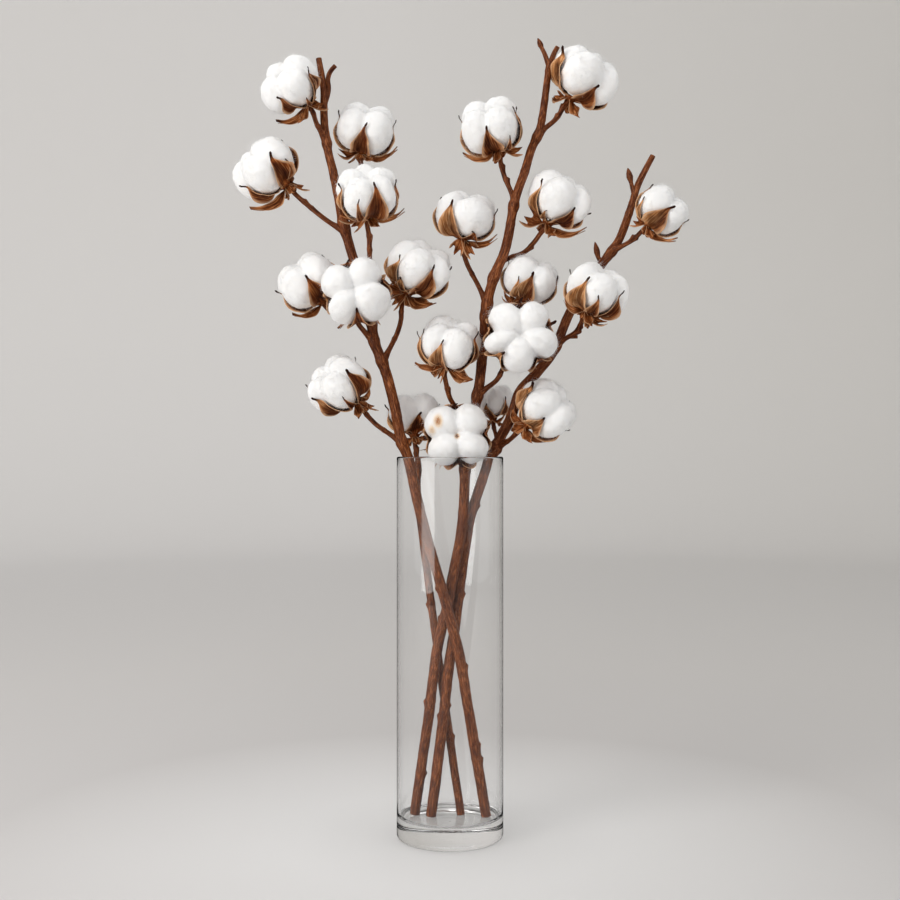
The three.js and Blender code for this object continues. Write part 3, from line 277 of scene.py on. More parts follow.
# Each head, in mm and degrees: the stem it grows on, its size, where its stalk ends and where the
# middle of its ball is, and its stalk's route. Its valves are (turn of the groove, turn of the tip,
# lift of the tip, width), its tongues are the same between two grooves, and its bracts are (turn,
# rise, length, half width, kind of end). Turns go round the ball's axis from its front, and lifts
# up from its stalk.
STRAP, RAGGED, ROUND = "strap", "ragged", "round"
HEADS = {
    "01": {"stem": "left", "size": 0.93,
           "end": (-131.5, -12, 682.8), "middle": (-148, -24, 700.5),
           "stalk": [(-116, -1, 652), (-120.8, -4, 661), (-124.5, -7, 668)],
           "valves": [(-42, -40, 97, 1), (52, 43, 98, 1.1), (140, 140, 108, 1),
                      (225, 225, 108, 1)],
           "tongues": [(-2, 2, 67, 0.34), (38, 34, 95, 0.9)],
           "bracts": [(65, -26, 15.5, 5.5, RAGGED), (-85, 18, 34, 3, STRAP),
                      (-45, 0, 28, 3, ROUND)]},
    "02": {"stem": "left", "size": 1,
           "end": (-84.7, 18, 644.5), "middle": (-80.4, 12, 669),
           "stalk": [(-101, -1, 577), (-93, 16, 592), (-86.5, 24, 616), (-85, 21, 635.5)],
           "valves": [(0, 4, 101, 0.85), (92, 92, 114, 0.95), (176, 176, 108, 1),
                      (276, 277, 114, 1)],
           "bracts": [(-85, 16, 24.5, 4.5, RAGGED), (80, 20, 34, 2.8, STRAP),
                      (0, -22, 9, 3.4, RAGGED), (50, -2, 17, 3, ROUND)]},
    "03": {"stem": "left", "size": 1.05,
           "end": (-150.8, -6, 608.8), "middle": (-173.4, -10, 626.4),
           "stalk": [(-99, -3, 569), (-112, -4, 576), (-132, -5, 591.5), (-146, -6, 604)],
           "valves": [(12, 18, 93, 1), (88, 84, 96, 1), (158, 150, 124, 1), (228, 222, 126, 1),
                      (292, 294, 102, 1)],
           "tongues": [(34, 34, 69, 0.32)],
           "bracts": [(80, -46, 11.5, 6.5, RAGGED), (-90, 22, 36, 3.6, STRAP),
                      (5, -60, 9, 3.6, ROUND)]},
    "04": {"stem": "left", "size": 0.96,
           "end": (-76.4, -24.4, 577.5), "middle": (-75.3, -35, 599),
           "stalk": [(-77.5, -5, 500), (-73, -11, 519), (-74.5, -17, 543), (-74.8, -20, 560)],
           "valves": [(22, 24, 124, 1), (90, 92, 116, 1), (161, 161, 108, 1),
                      (233, 233, 108, 1), (292, 292, 107, 1)],
           "tongues": [(-6, -14, 92, 0.36)],
           "bracts": [(90, 14, 34.5, 3, STRAP), (-80, 14, 31.5, 4.5, RAGGED),
                      (-45, -16, 22, 4.5, RAGGED), (40, -10, 20.5, 3.6, ROUND)]},
    "05": {"stem": "left", "size": 1.04,
           "end": (-118.5, 8, 501), "middle": (-134.5, 5, 523.5),
           "stalk": [(-73.5, -5, 483.5), (-88, 4, 487), (-105, 8, 491.5), (-114, 8, 496)],
           "valves": [(5, 2, 97, 1), (90, 90, 115, 1), (180, 180, 110, 1), (270, 270, 108, 1)],
           "bracts": [(-75, 16, 28.5, 2.8, STRAP), (60, 38, 9, 3, RAGGED)]},
    "06": {"stem": "left", "size": 1.08,
           "end": (-84.6, -19, 503), "middle": (-85.4, -47, 506.5),
           "stalk": [(-71.8, -7, 466), (-80, -11, 474), (-86.5, -13.5, 483), (-86.5, -13.5, 493)],
           "valves": [(17, 17, 108, 1), (107, 107, 108, 1), (188, 188, 136, 1),
                      (288, 288, 120, 1)],
           "bracts": [(150, 10, 30, 2.6, STRAP), (-70, 16, 32, 2.4, STRAP),
                      (-150, 2, 30, 3.6, RAGGED)]},
    "07": {"stem": "left", "size": 1.02,
           "end": (-42, -8, 507.2), "middle": (-28, -12, 533.6),
           "stalk": [(-63, -8, 446), (-58, -8, 455), (-49, -8, 473), (-45.6, -8, 486),
                     (-45.4, -8, 493)],
           "valves": [(-48, -42, 94, 1), (38, 28, 107, 1), (95, 94, 119, 1), (168, 168, 108, 1),
                      (256, 262, 106, 1)],
           "tongues": [(-14, -16, 64, 0.75), (12, 16, 60, 0.7)],
           "bracts": [(-80, 10, 25, 6, RAGGED), (-35, -58, 17, 4.5, RAGGED),
                      (65, 16, 31, 5.5, ROUND)]},
    "08": {"stem": "left", "size": 0.98,
           "end": (-86, -5, 405.8), "middle": (-105.4, -14, 425),
           "stalk": [(-45, -9, 370.5), (-56, -9, 378), (-70, -7.5, 388), (-80, -6, 399)],
           "valves": [(34, 36, 107, 1), (90, 92, 100, 1), (166, 166, 112, 1),
                      (238, 236, 126, 1), (305, 298, 110, 1)],
           "tongues": [(-8, -10, 83, 0.36)],
           "bracts": [(70, -48, 14, 6, RAGGED), (95, 14, 20, 1.8, STRAP),
                      (-15, -4, 30, 3.6, ROUND)]},
    "09": {"stem": "centre", "size": 0.98,
           "end": (-4.6, -10, 438.8), "middle": (0, -16, 463.5),
           "stalk": [(17.5, 13, 371), (12, 11, 384), (6, 6.5, 401), (-0.8, -3, 414),
                     (-3.8, -7.5, 426)],
           "valves": [(-20, -15, 101, 0.8), (68, 68, 122, 1), (158, 158, 108, 1),
                      (277, 284, 108, 1.1)],
           "tongues": [(-60, -58, 101, 0.9)],
           "bracts": [(-90, -2, 27, 2.8, STRAP), (-35, -60, 13, 3.2, RAGGED),
                      (77, -10, 27.5, 5.5, ROUND)]},
    "10": {"stem": "centre", "size": 1,
           "end": (11.3, 4, 559.8), "middle": (15.6, 2, 584.6),
           "stalk": [(34.8, 1, 501), (26.5, 3, 518.5), (15.2, 4, 541), (12.4, 4, 552)],
           "valves": [(-36, -38, 109, 1), (92, 90, 110, 1), (176, 176, 108, 1),
                      (262, 270, 115, 1)],
           "tongues": [(26, 22, 62, 0.8)],
           "bracts": [(85, 16, 31.5, 2.8, STRAP), (-25, -56, 19, 5, RAGGED),
                      (45, -30, 23.5, 5.5, RAGGED)]},
    "11": {"stem": "centre", "size": 1.02,
           "end": (46, 2, 644.4), "middle": (38, -7, 665.5),
           "stalk": [(60.5, -3, 592), (59, 0, 602), (51.2, 2, 621), (47.5, 3, 636)],
           "valves": [(-20, -16, 100, 1), (78, 72, 106, 1.15), (165, 165, 108, 1),
                      (258, 262, 126, 1)],
           "tongues": [(14, 22, 73, 0.34), (62, 50, 111, 0.75)],
           "bracts": [(-90, 16, 31, 3.2, STRAP), (80, -4, 21.5, 5.5, RAGGED),
                      (-20, -6, 30.5, 2.6, ROUND)]},
    "12": {"stem": "centre", "size": 1.1,
           "end": (110.9, 0, 691.3), "middle": (127.5, -3, 714.5),
           "stalk": [(82, -1, 657), (88, 0, 664.5), (99.6, 0, 674.4), (107, 0, 686)],
           "valves": [(-62, -72, 103, 1.35), (43, 29, 81, 1.1), (97, 94, 94, 0.92),
                      (158, 150, 112, 1), (224, 224, 108, 1)],
           "tongues": [(-38, -38, 52, 0.3)],
           "bracts": [(-80, -20, 13, 4.5, RAGGED), (50, -22, 22.5, 3.6, ROUND)]},
    "13": {"stem": "centre", "size": 1.02,
           "end": (90.2, 5, 574.8), "middle": (104.3, 2, 600.2),
           "stalk": [(41, -3, 526), (47.6, 9, 539), (57, 24, 547.5), (70.5, 24, 552.5),
                     (80, 13, 561), (86.5, 7.5, 569.5)],
           "valves": [(-59, -50, 99, 1), (38, 38, 84, 1), (90, 90, 93, 0.92),
                      (150, 140, 122, 1), (226, 226, 108, 1)],
           "tongues": [(-16, -14, 60, 0.32)],
           "bracts": [(-78, 4, 26, 6, RAGGED), (85, 24, 35, 2.8, STRAP),
                      (25, -12, 29, 3.6, ROUND)]},
    "14": {"stem": "centre", "size": 0.93,
           "end": (66, 9, 502.5), "middle": (76.5, 7, 525.5),
           "stalk": [(33.5, 2, 490), (41, 10, 485), (53, 13, 487.5), (62, 11, 495)],
           "valves": [(-2, 2, 100, 1.1), (88, 87, 120, 1), (170, 170, 108, 1),
                      (272, 272, 109, 0.85)],
           "tongues": [(-22, -20, 82, 0.36)],
           "bracts": [(-75, 18, 21, 4, RAGGED), (65, 14, 27, 4, RAGGED)]},
    "15": {"stem": "centre", "size": 1.13,
           "end": (64.5, -9, 464.5), "middle": (64, -38, 467.1),
           "stalk": [(26.5, 12, 416), (35.5, 9, 422.5), (44.2, 4, 429.5), (50, 0, 440),
                     (58, -3, 453)],
           "valves": [(2, 2, 108, 1), (80, 72, 118, 1), (134, 136, 130, 1), (215, 218, 122, 1),
                      (289, 292, 100, 1)],
           "bracts": [(-160, -14, 26, 4, RAGGED), (110, 14, 33, 2.4, STRAP),
                      (-105, 16, 30, 2.2, STRAP)]},
    "16": {"stem": "right", "size": 0.99,
           "end": (125, -17, 489.3), "middle": (136, -20, 512.5),
           "stalk": [(100.4, 15, 462.5), (108, 9, 468), (118, -1.5, 474), (122.5, -11, 482)],
           "valves": [(-35, -28, 101, 1), (56, 52, 105, 0.85), (99, 101, 104, 0.75),
                      (190, 190, 108, 1), (268, 270, 100, 1)],
           "tongues": [(10, 8, 80, 0.6)],
           "bracts": [(-85, 12, 21.5, 3.2, STRAP), (60, 14, 28, 4, RAGGED),
                      (25, -18, 24, 3.6, ROUND), (-20, -48, 10, 3.4, RAGGED)]},
    "17": {"stem": "right", "size": 0.87,
           "end": (183.2, -7, 571.5), "middle": (199, -10, 587.5),
           "stalk": [(154.5, 19, 554), (162.4, 12, 556.5), (172.6, 2, 561.5), (179, -4, 567.5)],
           "valves": [(6, 8, 105, 1.15), (90, 86, 112, 1), (184, 184, 108, 1),
                      (272, 270, 113, 1)],
           "tongues": [(-44, -44, 79, 0.36)],
           "bracts": [(-80, -18, 16, 5, RAGGED), (75, 20, 34, 2.8, STRAP),
                      (35, -14, 26, 3.6, ROUND)]},
    "18": {"stem": "right", "size": 0.99,
           "end": (68.2, -8, 385), "middle": (91.2, -12, 402.2),
           "stalk": [(43.5, 12, 364.5), (49.5, 7, 368.5), (56.5, 0, 373.3), (63.5, -5, 380)],
           "valves": [(-60, -68, 99, 1.35), (14, 12, 79, 1), (87, 88, 99, 1),
                      (166, 156, 128, 1), (238, 238, 108, 1)],
           "tongues": [(-44, -50, 84, 1)],
           "bracts": [(50, -4, 20.5, 3.4, ROUND), (75, 26, 28, 2.8, STRAP),
                      (-75, 4, 18, 2.8, STRAP)]},
    "19": {"stem": "centre", "size": 1.08,
           "end": (7, 5.5, 372.5), "middle": (6.5, -22, 377.1),
           "stalk": [(14.4, 9.5, 345), (11.6, 10, 354), (8.6, 12, 364)],
           "valves": [(5, 5, 108, 1.35), (98, 98, 110, 1.35), (185, 185, 108, 1.35),
                      (270, 270, 126, 1)],
           "bracts": [(105, -3, 34, 3.6, RAGGED), (145, -4, 36, 3.2, RAGGED),
                      (-115, 10, 32, 2.6, STRAP)]},
    "20": {"stem": "back", "size": 0.9,
           "end": (-34, 27, 374), "middle": (-35.8, 33, 399.5),
           "stalk": [(-31.3, 23.6, 343), (-31.8, 24.8, 354), (-32.8, 26, 364)],
           "valves": [(12, 16, 76, 1), (102, 102, 108, 1), (190, 190, 108, 1),
                      (280, 280, 108, 1)],
           "bracts": [(70, 10, 22, 2.4, STRAP), (-60, -20, 15, 3.6, RAGGED),
                      (15, -50, 12, 3, ROUND)]},
    "21": {"stem": "right", "size": 0.7,
           "end": (42, 41, 391), "middle": (41, 43, 412),
           "stalk": [(44, 12.5, 366), (45.5, 22, 369.5), (44.5, 32, 376), (43, 39, 384)],
           "valves": [(-24, -24, 74, 1), (50, 36, 91, 1), (145, 145, 108, 1), (240, 240, 108, 1)],
           "bracts": [(40, 20, 24, 3.4, STRAP), (-75, 6, 18, 3.4, ROUND)]},
}


def joined(parts):
    """Several shapes as one: their points one after another, and their faces counted on."""
    starts = np.cumsum([0] + [len(part["points"]) for part in parts[:-1]])
    return {
        "points": np.vstack([part["points"] for part in parts]),
        "quads": np.vstack([part["quads"] + start for part, start in zip(parts, starts)]),
        "tris": np.vstack([part["tris"] + start for part, start in zip(parts, starts)]),
        "marks": np.vstack([part["marks"] for part in parts]),
    }


def draw(seed):
    """A repeatable draw between 0 and 1 for a number or an array: the tail of a long sine."""
    wave = np.sin(np.asarray(seed, float) * 12.9898) * 43758.5453
    return wave - np.floor(wave)


def noise(points, cell, seed):
    """Smooth noise from -1 to 1: a value drawn for each corner of a grid of cells, and blended
    between the eight corners round each point. cell is a size, or one for each axis."""
    scaled = points / np.asarray(cell) + 31.7 * seed
    corner = np.floor(scaled)
    part = scaled - corner
    part = part * part * (3 - 2 * part)
    total = np.zeros(points.shape[:-1])
    for step in np.ndindex(2, 2, 2):
        share = np.prod(np.where(step, part, 1 - part), axis=-1)
        number = (corner + step) @ np.array([1.0, 57.13, 113.71])
        total += share * draw(number)
    return 2 * total - 1


def smooth_route(points, spacing):
    """Even steps along a centripetal Catmull-Rom curve through the points, which are in mm."""
    points = np.array(points, float) * MM
    padded = np.vstack([2 * points[0] - points[1], points, 2 * points[-1] - points[-2]])
    samples = []
    for k in range(len(points) - 1):
        p0, p1, p2, p3 = padded[k:k + 4]
        knots = np.sqrt([np.linalg.norm(b - a) for a, b in ((p0, p1), (p1, p2), (p2, p3))])
        before, span, after = knots
        start = ((p1 - p0) / before - (p2 - p0) / (before + span) + (p2 - p1) / span) * span
        end = ((p2 - p1) / span - (p3 - p1) / (span + after) + (p3 - p2) / after) * span
        t = np.linspace(0, 1, CURVE_STEPS, endpoint=False)[:, None]
        samples.append(
            (2 * t**3 - 3 * t**2 + 1) * p1 + (t**3 - 2 * t**2 + t) * start
            + (3 * t**2 - 2 * t**3) * p2 + (t**3 - t**2) * end
        )
    curve = np.vstack(samples + [points[-1:]])
    length = np.concatenate([[0], np.cumsum(np.linalg.norm(np.diff(curve, axis=0), axis=1))])
    steps = max(3, round(length[-1] / spacing))
    even = np.linspace(0, length[-1], steps + 1)
    return np.column_stack([np.interp(even, length, curve[:, axis]) for axis in range(3)]), even


def unit(vectors):
    """Vectors brought to length 1 along their last axis."""
    return vectors / np.linalg.norm(vectors, axis=-1, keepdims=True)


def frames(points):
    """For each point of a line: the way along it and two directions across, all at right angles."""
    along = unit(np.gradient(points, axis=0))
    reference = np.eye(3)[np.abs(along).max(axis=0).argmin()]
    side = unit(reference - (along @ reference)[:, None] * along)
    return along, side, np.cross(along, side)


def bark_tube(points, at, radii, sides, seed, nubs=(), cuts=(True, True)):
    """A round bar along a line of points. Its radius is ridged lengthwise by stretched noise and
    raised at each nub, (place along, turn, height), by a bell that leans up the stem. An end that
    is cut closes with a flat face, its edge slightly broken."""
    along, side, other = frames(points)
    turn = np.linspace(0, 2 * math.pi, sides, endpoint=False)
    cos, sin = np.cos(turn), np.sin(turn)
    around = np.stack([
        radii[:, None] * cos, radii[:, None] * sin, at[:, None] + 0 * cos,
    ], axis=-1)
    ridges = 0.05 * noise(around, (2.2 * MM, 2.2 * MM, 26 * MM), seed)
    ridges += 0.035 * noise(around, (0.9 * MM, 0.9 * MM, 7 * MM), seed + 1)
    ridges += 0.03 * noise(around, 4 * MM, seed + 2)
    radius = radii[:, None] * (1 + ridges)
    for nub_at, nub_turn, height in nubs:
        over = at - nub_at
        lean = np.where(over > 0, NUB_UPPER_LENGTH, NUB_LOWER_LENGTH)
        away = (turn - nub_turn + math.pi) % (2 * math.pi) - math.pi
        width = np.abs(away[None, :]) * radii[:, None] / NUB_WIDTH
        radius += height * np.exp(-((over / lean) ** 2))[:, None] * np.exp(-(width**2))
        scar_ring = np.exp(-(((over - 0.4 * MM) / (1.3 * MM)) ** 2))[:, None]
        radius += 0.28 * MM * scar_ring
    grid = points[:, None] + side[:, None] * (radius * cos)[..., None]
    grid += other[:, None] * (radius * sin)[..., None]
    marks = np.concatenate([around, np.zeros(around.shape[:2] + (1,))], axis=-1)
    for end, cut in zip((0, -1), cuts):
        if cut:
            middle = points[end]
            face = middle + (grid[end] - middle) * 0.9
            face += along[end] * (0.25 * MM if end else -0.15 * MM)
            inner = middle + (grid[end] - middle) * 0.35
            flat = marks[end].copy()
            flat[:, 3] = 1
            if end == 0:
                grid = np.concatenate([inner[None], face[None], grid])
                marks = np.concatenate([flat[None], flat[None], marks])
            else:
                grid = np.concatenate([grid, face[None], inner[None]])
                marks = np.concatenate([marks, flat[None], flat[None]])
    return rings(grid, marks)


def place(point):
    """A point given in millimetres, in metres."""
    return np.array(point, float) * MM


def stalk_shape(head, seed):
    """A stalk: widest where it leaves the stem, slim along its run, flared again under its head."""
    end, middle = place(head["end"]), place(head["middle"])
    axis = unit(middle - end)
    under = end - 4.5 * MM * head["size"] * axis
    route = [*head["stalk"], tuple(under / MM), tuple(end / MM)]
    points, at = smooth_route(route, RING_STEP)
    slim = min(1, 0.4 + 0.6 * head["size"])
    from_root, from_end = at / MM, (at[-1] - at) / MM
    radii = STALK_RADIUS + (STALK_ROOT_RADIUS - STALK_RADIUS) * np.exp(-((from_root / 8) ** 2))
    radii += (STALK_END_RADIUS - STALK_RADIUS) * np.exp(-((from_end / 4) ** 2))
    nubs = [
        (at[-1] * (0.35 + 0.3 * draw(seed + 5)), 2 * math.pi * draw(seed + 6), 2.1 * MM),
        (at[-1] * (0.66 + 0.2 * draw(seed + 7)), 2 * math.pi * draw(seed + 8), 1.5 * MM),
    ]
    return bark_tube(points, at, radii * slim, STALK_SIDES, seed, nubs, (False, False))


def bud_shape(start, tip, radius, seed):
    """A closed pointed bud: a bar that is fattest a third of the way up and comes to a point."""
    start, tip = place(start), place(tip)
    t = np.linspace(-0.12, 1, 26)
    points = start + t[:, None] * (tip - start)
    swell = np.interp(t, [-0.12, 0.02, 0.3, 0.62, 0.9, 1], [0.62, 0.72, 1, 0.8, 0.34, 0.12])
    at = t * np.linalg.norm(tip - start)
    return bark_tube(points, at, swell * radius * MM, BUD_SIDES, seed, cuts=(False, False))


def attribute(tree, name):
    """The node that reads one of a piece's own marks."""
    node = tree.nodes.new("ShaderNodeAttribute")
    node.attribute_name = name
    return node


def ramp(tree, value, stops):
    """A colour ramp over a value, its stops given as (place, colour)."""
    node = tree.nodes.new("ShaderNodeValToRGB")
    node.color_ramp.elements[0].position, node.color_ramp.elements[0].color = stops[0]
    node.color_ramp.elements[1].position, node.color_ramp.elements[1].color = stops[-1]
    for position, colour in stops[1:-1]:
        node.color_ramp.elements.new(position).color = colour
    tree.links.new(value, node.inputs["Fac"])
    return node.outputs["Color"]


def mixed(tree, share, first, second, blend="MIX"):
    """Two colours mixed, each a socket or a plain colour, by a share that is a socket or number."""
    node = tree.nodes.new("ShaderNodeMix")
    node.data_type = "RGBA"
    node.blend_type = blend
    for index, value in ((0, share), (6, first), (7, second)):
        socket = node.inputs[index]
        if isinstance(value, bpy.types.NodeSocket):
            tree.links.new(value, socket)
        else:
            socket.default_value = value
    return node.outputs[2]


def texture(tree, vector, scale, detail=4.0, roughness=0.55):
    """A noise texture's value over the vector."""
    node = tree.nodes.new("ShaderNodeTexNoise")
    node.inputs["Scale"].default_value = scale
    node.inputs["Detail"].default_value = detail
    node.inputs["Roughness"].default_value = roughness
    tree.links.new(vector, node.inputs["Vector"])
    return node.outputs["Fac"]


def bumped(tree, shader, height, distance, strength=1.0):
    """The height worked into the shader's normal, over a distance in metres."""
    node = tree.nodes.new("ShaderNodeBump")
    node.inputs["Distance"].default_value = distance
    node.inputs["Strength"].default_value = strength
    tree.links.new(height, node.inputs["Height"])
    tree.links.new(node.outputs["Normal"], shader.inputs["Normal"])


def stretched(tree, names, scales):
    """A vector put together from three of a piece's marks, each times its own scale."""
    combine = tree.nodes.new("ShaderNodeCombineXYZ")
    for axis, (name, scale) in enumerate(zip(names, scales)):
        multiply = tree.nodes.new("ShaderNodeMath")
        multiply.operation = "MULTIPLY"
        multiply.inputs[1].default_value = scale
        tree.links.new(attribute(tree, name).outputs["Fac"], multiply.inputs[0])
        tree.links.new(multiply.outputs[0], combine.inputs[axis])
    return combine.outputs["Vector"]


BARK_MARKS = ["across_x", "across_y", "along", "cut"]
bark, tree, shader = new_material("dry_bark", Roughness=0.5, Specular_IOR_Level=0.22)
streaks = texture(tree, stretched(tree, BARK_MARKS[:3], (1, 1, 0.12)), 1150, 5, 0.6)
patches = texture(tree, stretched(tree, BARK_MARKS[:3], (1, 1, 0.4)), 110, 3, 0.5)
flecks = texture(tree, stretched(tree, BARK_MARKS[:3], (1, 1, 0.6)), 1500, 2, 0.5)
bark_colour = ramp(tree, streaks, [
    (0.3, (0.035, 0.006, 0.001, 1)),
    (0.5, (0.135, 0.032, 0.005, 1)),
    (0.72, (0.42, 0.15, 0.055, 1)),
])
bark_patch = ramp(tree, patches, [(0.36, (0.68, 0.58, 0.5, 1)), (0.62, (1.22, 1.22, 1.18, 1))])
bark_colour = mixed(tree, 1.0, bark_colour, bark_patch, "MULTIPLY")
fleck_share = ramp(tree, flecks, [(0.64, (0, 0, 0, 1)), (0.72, (0.7, 0.7, 0.7, 1))])
bark_colour = mixed(tree, fleck_share, bark_colour, (0.42, 0.22, 0.12, 1))
cut_wood = ramp(tree, flecks, [(0.3, (0.33, 0.19, 0.1, 1)), (0.7, (0.62, 0.43, 0.27, 1))])
bark_colour = mixed(tree, attribute(tree, "cut").outputs["Fac"], bark_colour, cut_wood)
tree.links.new(bark_colour, shader.inputs["Base Color"])
bumped(tree, shader, streaks, 0.4 * MM, 0.6)

for name, stem in STEMS.items():
    points, at = smooth_route(stem["route"], RING_STEP)
    narrowing = (at / at[-1]) ** 6
    radii = (stem["radius"] - (stem["radius"] - stem["tip_radius"]) * narrowing) * MM
    joints = np.arange(NUB_SPACING, at[-1] - 15 * MM, NUB_SPACING)
    joints = joints + 12 * MM * draw(stem["seed"] + np.arange(len(joints)))
    nubs = []
    for k, joint in enumerate(joints):
        if np.interp(joint, at, points[:, 2]) > HIGHEST_LISTED_NUB:
            nub_turn = math.pi * k + 1.3 * (draw(stem["seed"] * 3 + k) - 0.5)
            nubs.append((joint, nub_turn, (1.4 + 0.9 * draw(k + 9)) * MM))
    _, side, other = frames(points)
    for height, way in stem["nubs"]:
        k = np.abs(points[:, 2] - height * MM).argmin()
        nubs.append((at[k], math.atan2(way * other[k, 0], way * side[k, 0]), NUB_HEIGHT))
    grown = [(int(number), head) for number, head in HEADS.items() if head["stem"] == name]
    for _, head in grown:
        root = at[np.linalg.norm(points - place(head["stalk"][0]), axis=1).argmin()]
        radii = radii + JOINT_SWELLING * np.exp(-(((at - root) / JOINT_LENGTH) ** 2))
    shapes = [bark_tube(points, at, radii, STEM_SIDES, stem["seed"], nubs)]
    for k, twig in enumerate(stem["twigs"]):
        twig_points, twig_at = smooth_route(twig["route"], RING_STEP)
        twig_radii = twig["radius"] * MM * np.linspace(1.25, 0.95, len(twig_at))
        seed = stem["seed"] + 5 + k
        cuts = (False, "bud" not in twig)
        shapes.append(bark_tube(twig_points, twig_at, twig_radii, STALK_SIDES, seed, cuts=cuts))
        if "bud" in twig:
            shapes.append(bud_shape(twig["route"][-1], twig["tip"], twig["bud"], seed + 1))
    shapes += [stalk_shape(head, 100 + number) for number, head in grown]
    add_piece(f"branch_{name}", joined(shapes), BARK_MARKS, bark, "bark", f"stem_{name}")

# The husks: on each stalk a dry woody cup, from which the valves of the open boll stand up in
# the grooves between its locks of lint, and under them a collar of papery bracts, torn at their
# ends. A head's husk grew as one piece.
LEAST_RISE = 25.6 * MM

# A lock of lint in a boll of five or four: how far its middle stands off the axis, and half its
# size outwards, sideways and lengthwise, in mm before the head's own size.
LOCK_LENGTH = 19.5
LOCKS = {
    5: {"offset": 14.5, "radial": 16.5, "tangential": 14},
    4: {"offset": 14.5, "radial": 16.5, "tangential": 16.5},
}
LOCK_VARIATION = 0.05
LOCK_SWAY = 3.5
LINT_SOFTNESS = 1.2
FACES_FRONT = 0.8
FRONT, UP = np.array([0, -1.0, 0]), np.array([0, 0, 1.0])

# Each head gets its axis, the way its turns are counted from, its ball and its grooves.
for name, head in HEADS.items():
    end, middle = place(head["end"]), place(head["middle"])
    axis = unit(middle - end)
    towards = UP if abs(axis[1]) > FACES_FRONT else FRONT
    front = unit(towards - (towards @ axis) * axis)
    rise = max(np.linalg.norm(middle - end), LEAST_RISE * head["size"])
    turns = np.radians([valve[0] for valve in head["valves"]])
    head.update(
        number=int(name), base=end, axis=axis, front=front, right=np.cross(axis, front),
        ball=end + rise * axis, sway=0 if towards is UP else LOCK_SWAY,
        grooves=list(zip(turns, [*turns[1:], turns[0] + 2 * math.pi])),
    )


def bearing(head, turn, lift):
    """Directions from a ball's middle: turn goes round its axis and lift up from its stalk."""
    flat = head["front"] * (np.cos(turn) * np.sin(lift))[..., None]
    flat = flat + head["right"] * (np.sin(turn) * np.sin(lift))[..., None]
    return flat - head["axis"] * np.cos(lift)[..., None]


def lint_reach(head, turn, lift, softness=0.0):
    """How far the lint reaches from the ball's middle, in metres: the furthest way out of any of
    its locks, each a fat ellipsoid set off the axis between two grooves and stretched round it to
    fill the turn between them, lower at the front than at the back. softness rounds creases."""
    shape = LOCKS[len(head["grooves"])]
    even = 2 * math.pi / len(head["grooves"])
    reaches = []
    for k, (groove, following) in enumerate(head["grooves"]):
        seed = head["number"] * 10 + k
        fuller = 1 + LOCK_VARIATION * (2 * draw(seed) - 1)
        length = LOCK_LENGTH * (1 + LOCK_VARIATION * (2 * draw(seed + 300) - 1))
        turned = turn - (groove + following) / 2
        nearest = turned - 2 * math.pi * np.round(turned / (2 * math.pi))
        away = np.clip(nearest * even / (following - groove), -math.pi, math.pi)
        u = np.sin(lift) * np.cos(away) / (shape["radial"] * fuller)
        v = np.sin(lift) * np.sin(away) / (shape["tangential"] * fuller)
        w = -np.cos(lift) / length
        out = shape["offset"] / (shape["radial"] * fuller)
        up = -head["sway"] * math.cos((groove + following) / 2) / length
        push = u * out + w * up
        size = u**2 + v**2 + w**2
        inside = np.maximum(push**2 + size * (1 - out**2 - up**2), 0)
        reaches.append((push + np.sqrt(inside)) / size)
    reach = np.max(reaches, axis=0)
    if softness:
        excess = np.exp((np.array(reaches) - reach) / softness).sum(axis=0)
        reach = reach + softness * np.log(excess)
    return reach * head["size"] * MM


def stacked(*values):
    """Values brought to one shape and stacked, as the coordinates of points or as marks."""
    return np.stack(np.broadcast_arrays(*values), axis=-1)


def shell(inner, outer, marks):
    """A closed thin body between two grids of points: both faces, and a strip round the edge."""
    rows, columns = inner.shape[:2]
    index = np.arange(rows * columns).reshape(rows, columns)
    count = rows * columns
    a, b = index[:-1, :-1].ravel(), index[:-1, 1:].ravel()
    c, d = index[1:, 1:].ravel(), index[1:, :-1].ravel()
    edge = np.concatenate([index[0], index[1:, -1], index[-1, -2::-1], index[-2:0:-1, 0]])
    following = np.roll(edge, -1)
    quads = np.vstack([
        np.column_stack([a, b, c, d]),
        np.column_stack([a, d, c, b]) + count,
        np.column_stack([following, edge, edge + count, following + count]),
    ])
    flat = marks.reshape(count, -1)
    return outward({
        "points": np.vstack([inner.reshape(-1, 3), outer.reshape(-1, 3)]), "quads": quads,
        "tris": np.zeros((0, 3), int), "marks": np.vstack([flat, flat]),
    })


VALVE_ROWS, VALVE_COLUMNS = 26, 13
VALVE_WIDTH = 9.2 * MM
VALVE_GIRTH = 25 * MM
VALVE_THICKNESS = 0.8 * MM
VALVE_FIRST_LIFT = 12
KEEL = {"out": 24.2, "along": 22.3}
KEEL_BLEND = 0.7
VALVE_OUTLINE = np.array([
    [0.0, 0.1, 0.2, 0.3, 0.4, 0.5, 0.58, 0.66, 0.73, 0.79, 0.85, 0.9, 0.94, 0.97, 0.985, 1.0],
    [0.42, 0.62, 0.83, 0.97, 1.0, 0.95, 0.82, 0.63, 0.45, 0.3, 0.19, 0.13, 0.1, 0.13, 0.15, 0.06],
])


def smoothed(value, low, high):
    """0 below low, 1 above high, and an even S between them."""
    t = np.clip((value - low) / (high - low), 0, 1)
    return t * t * (3 - 2 * t)


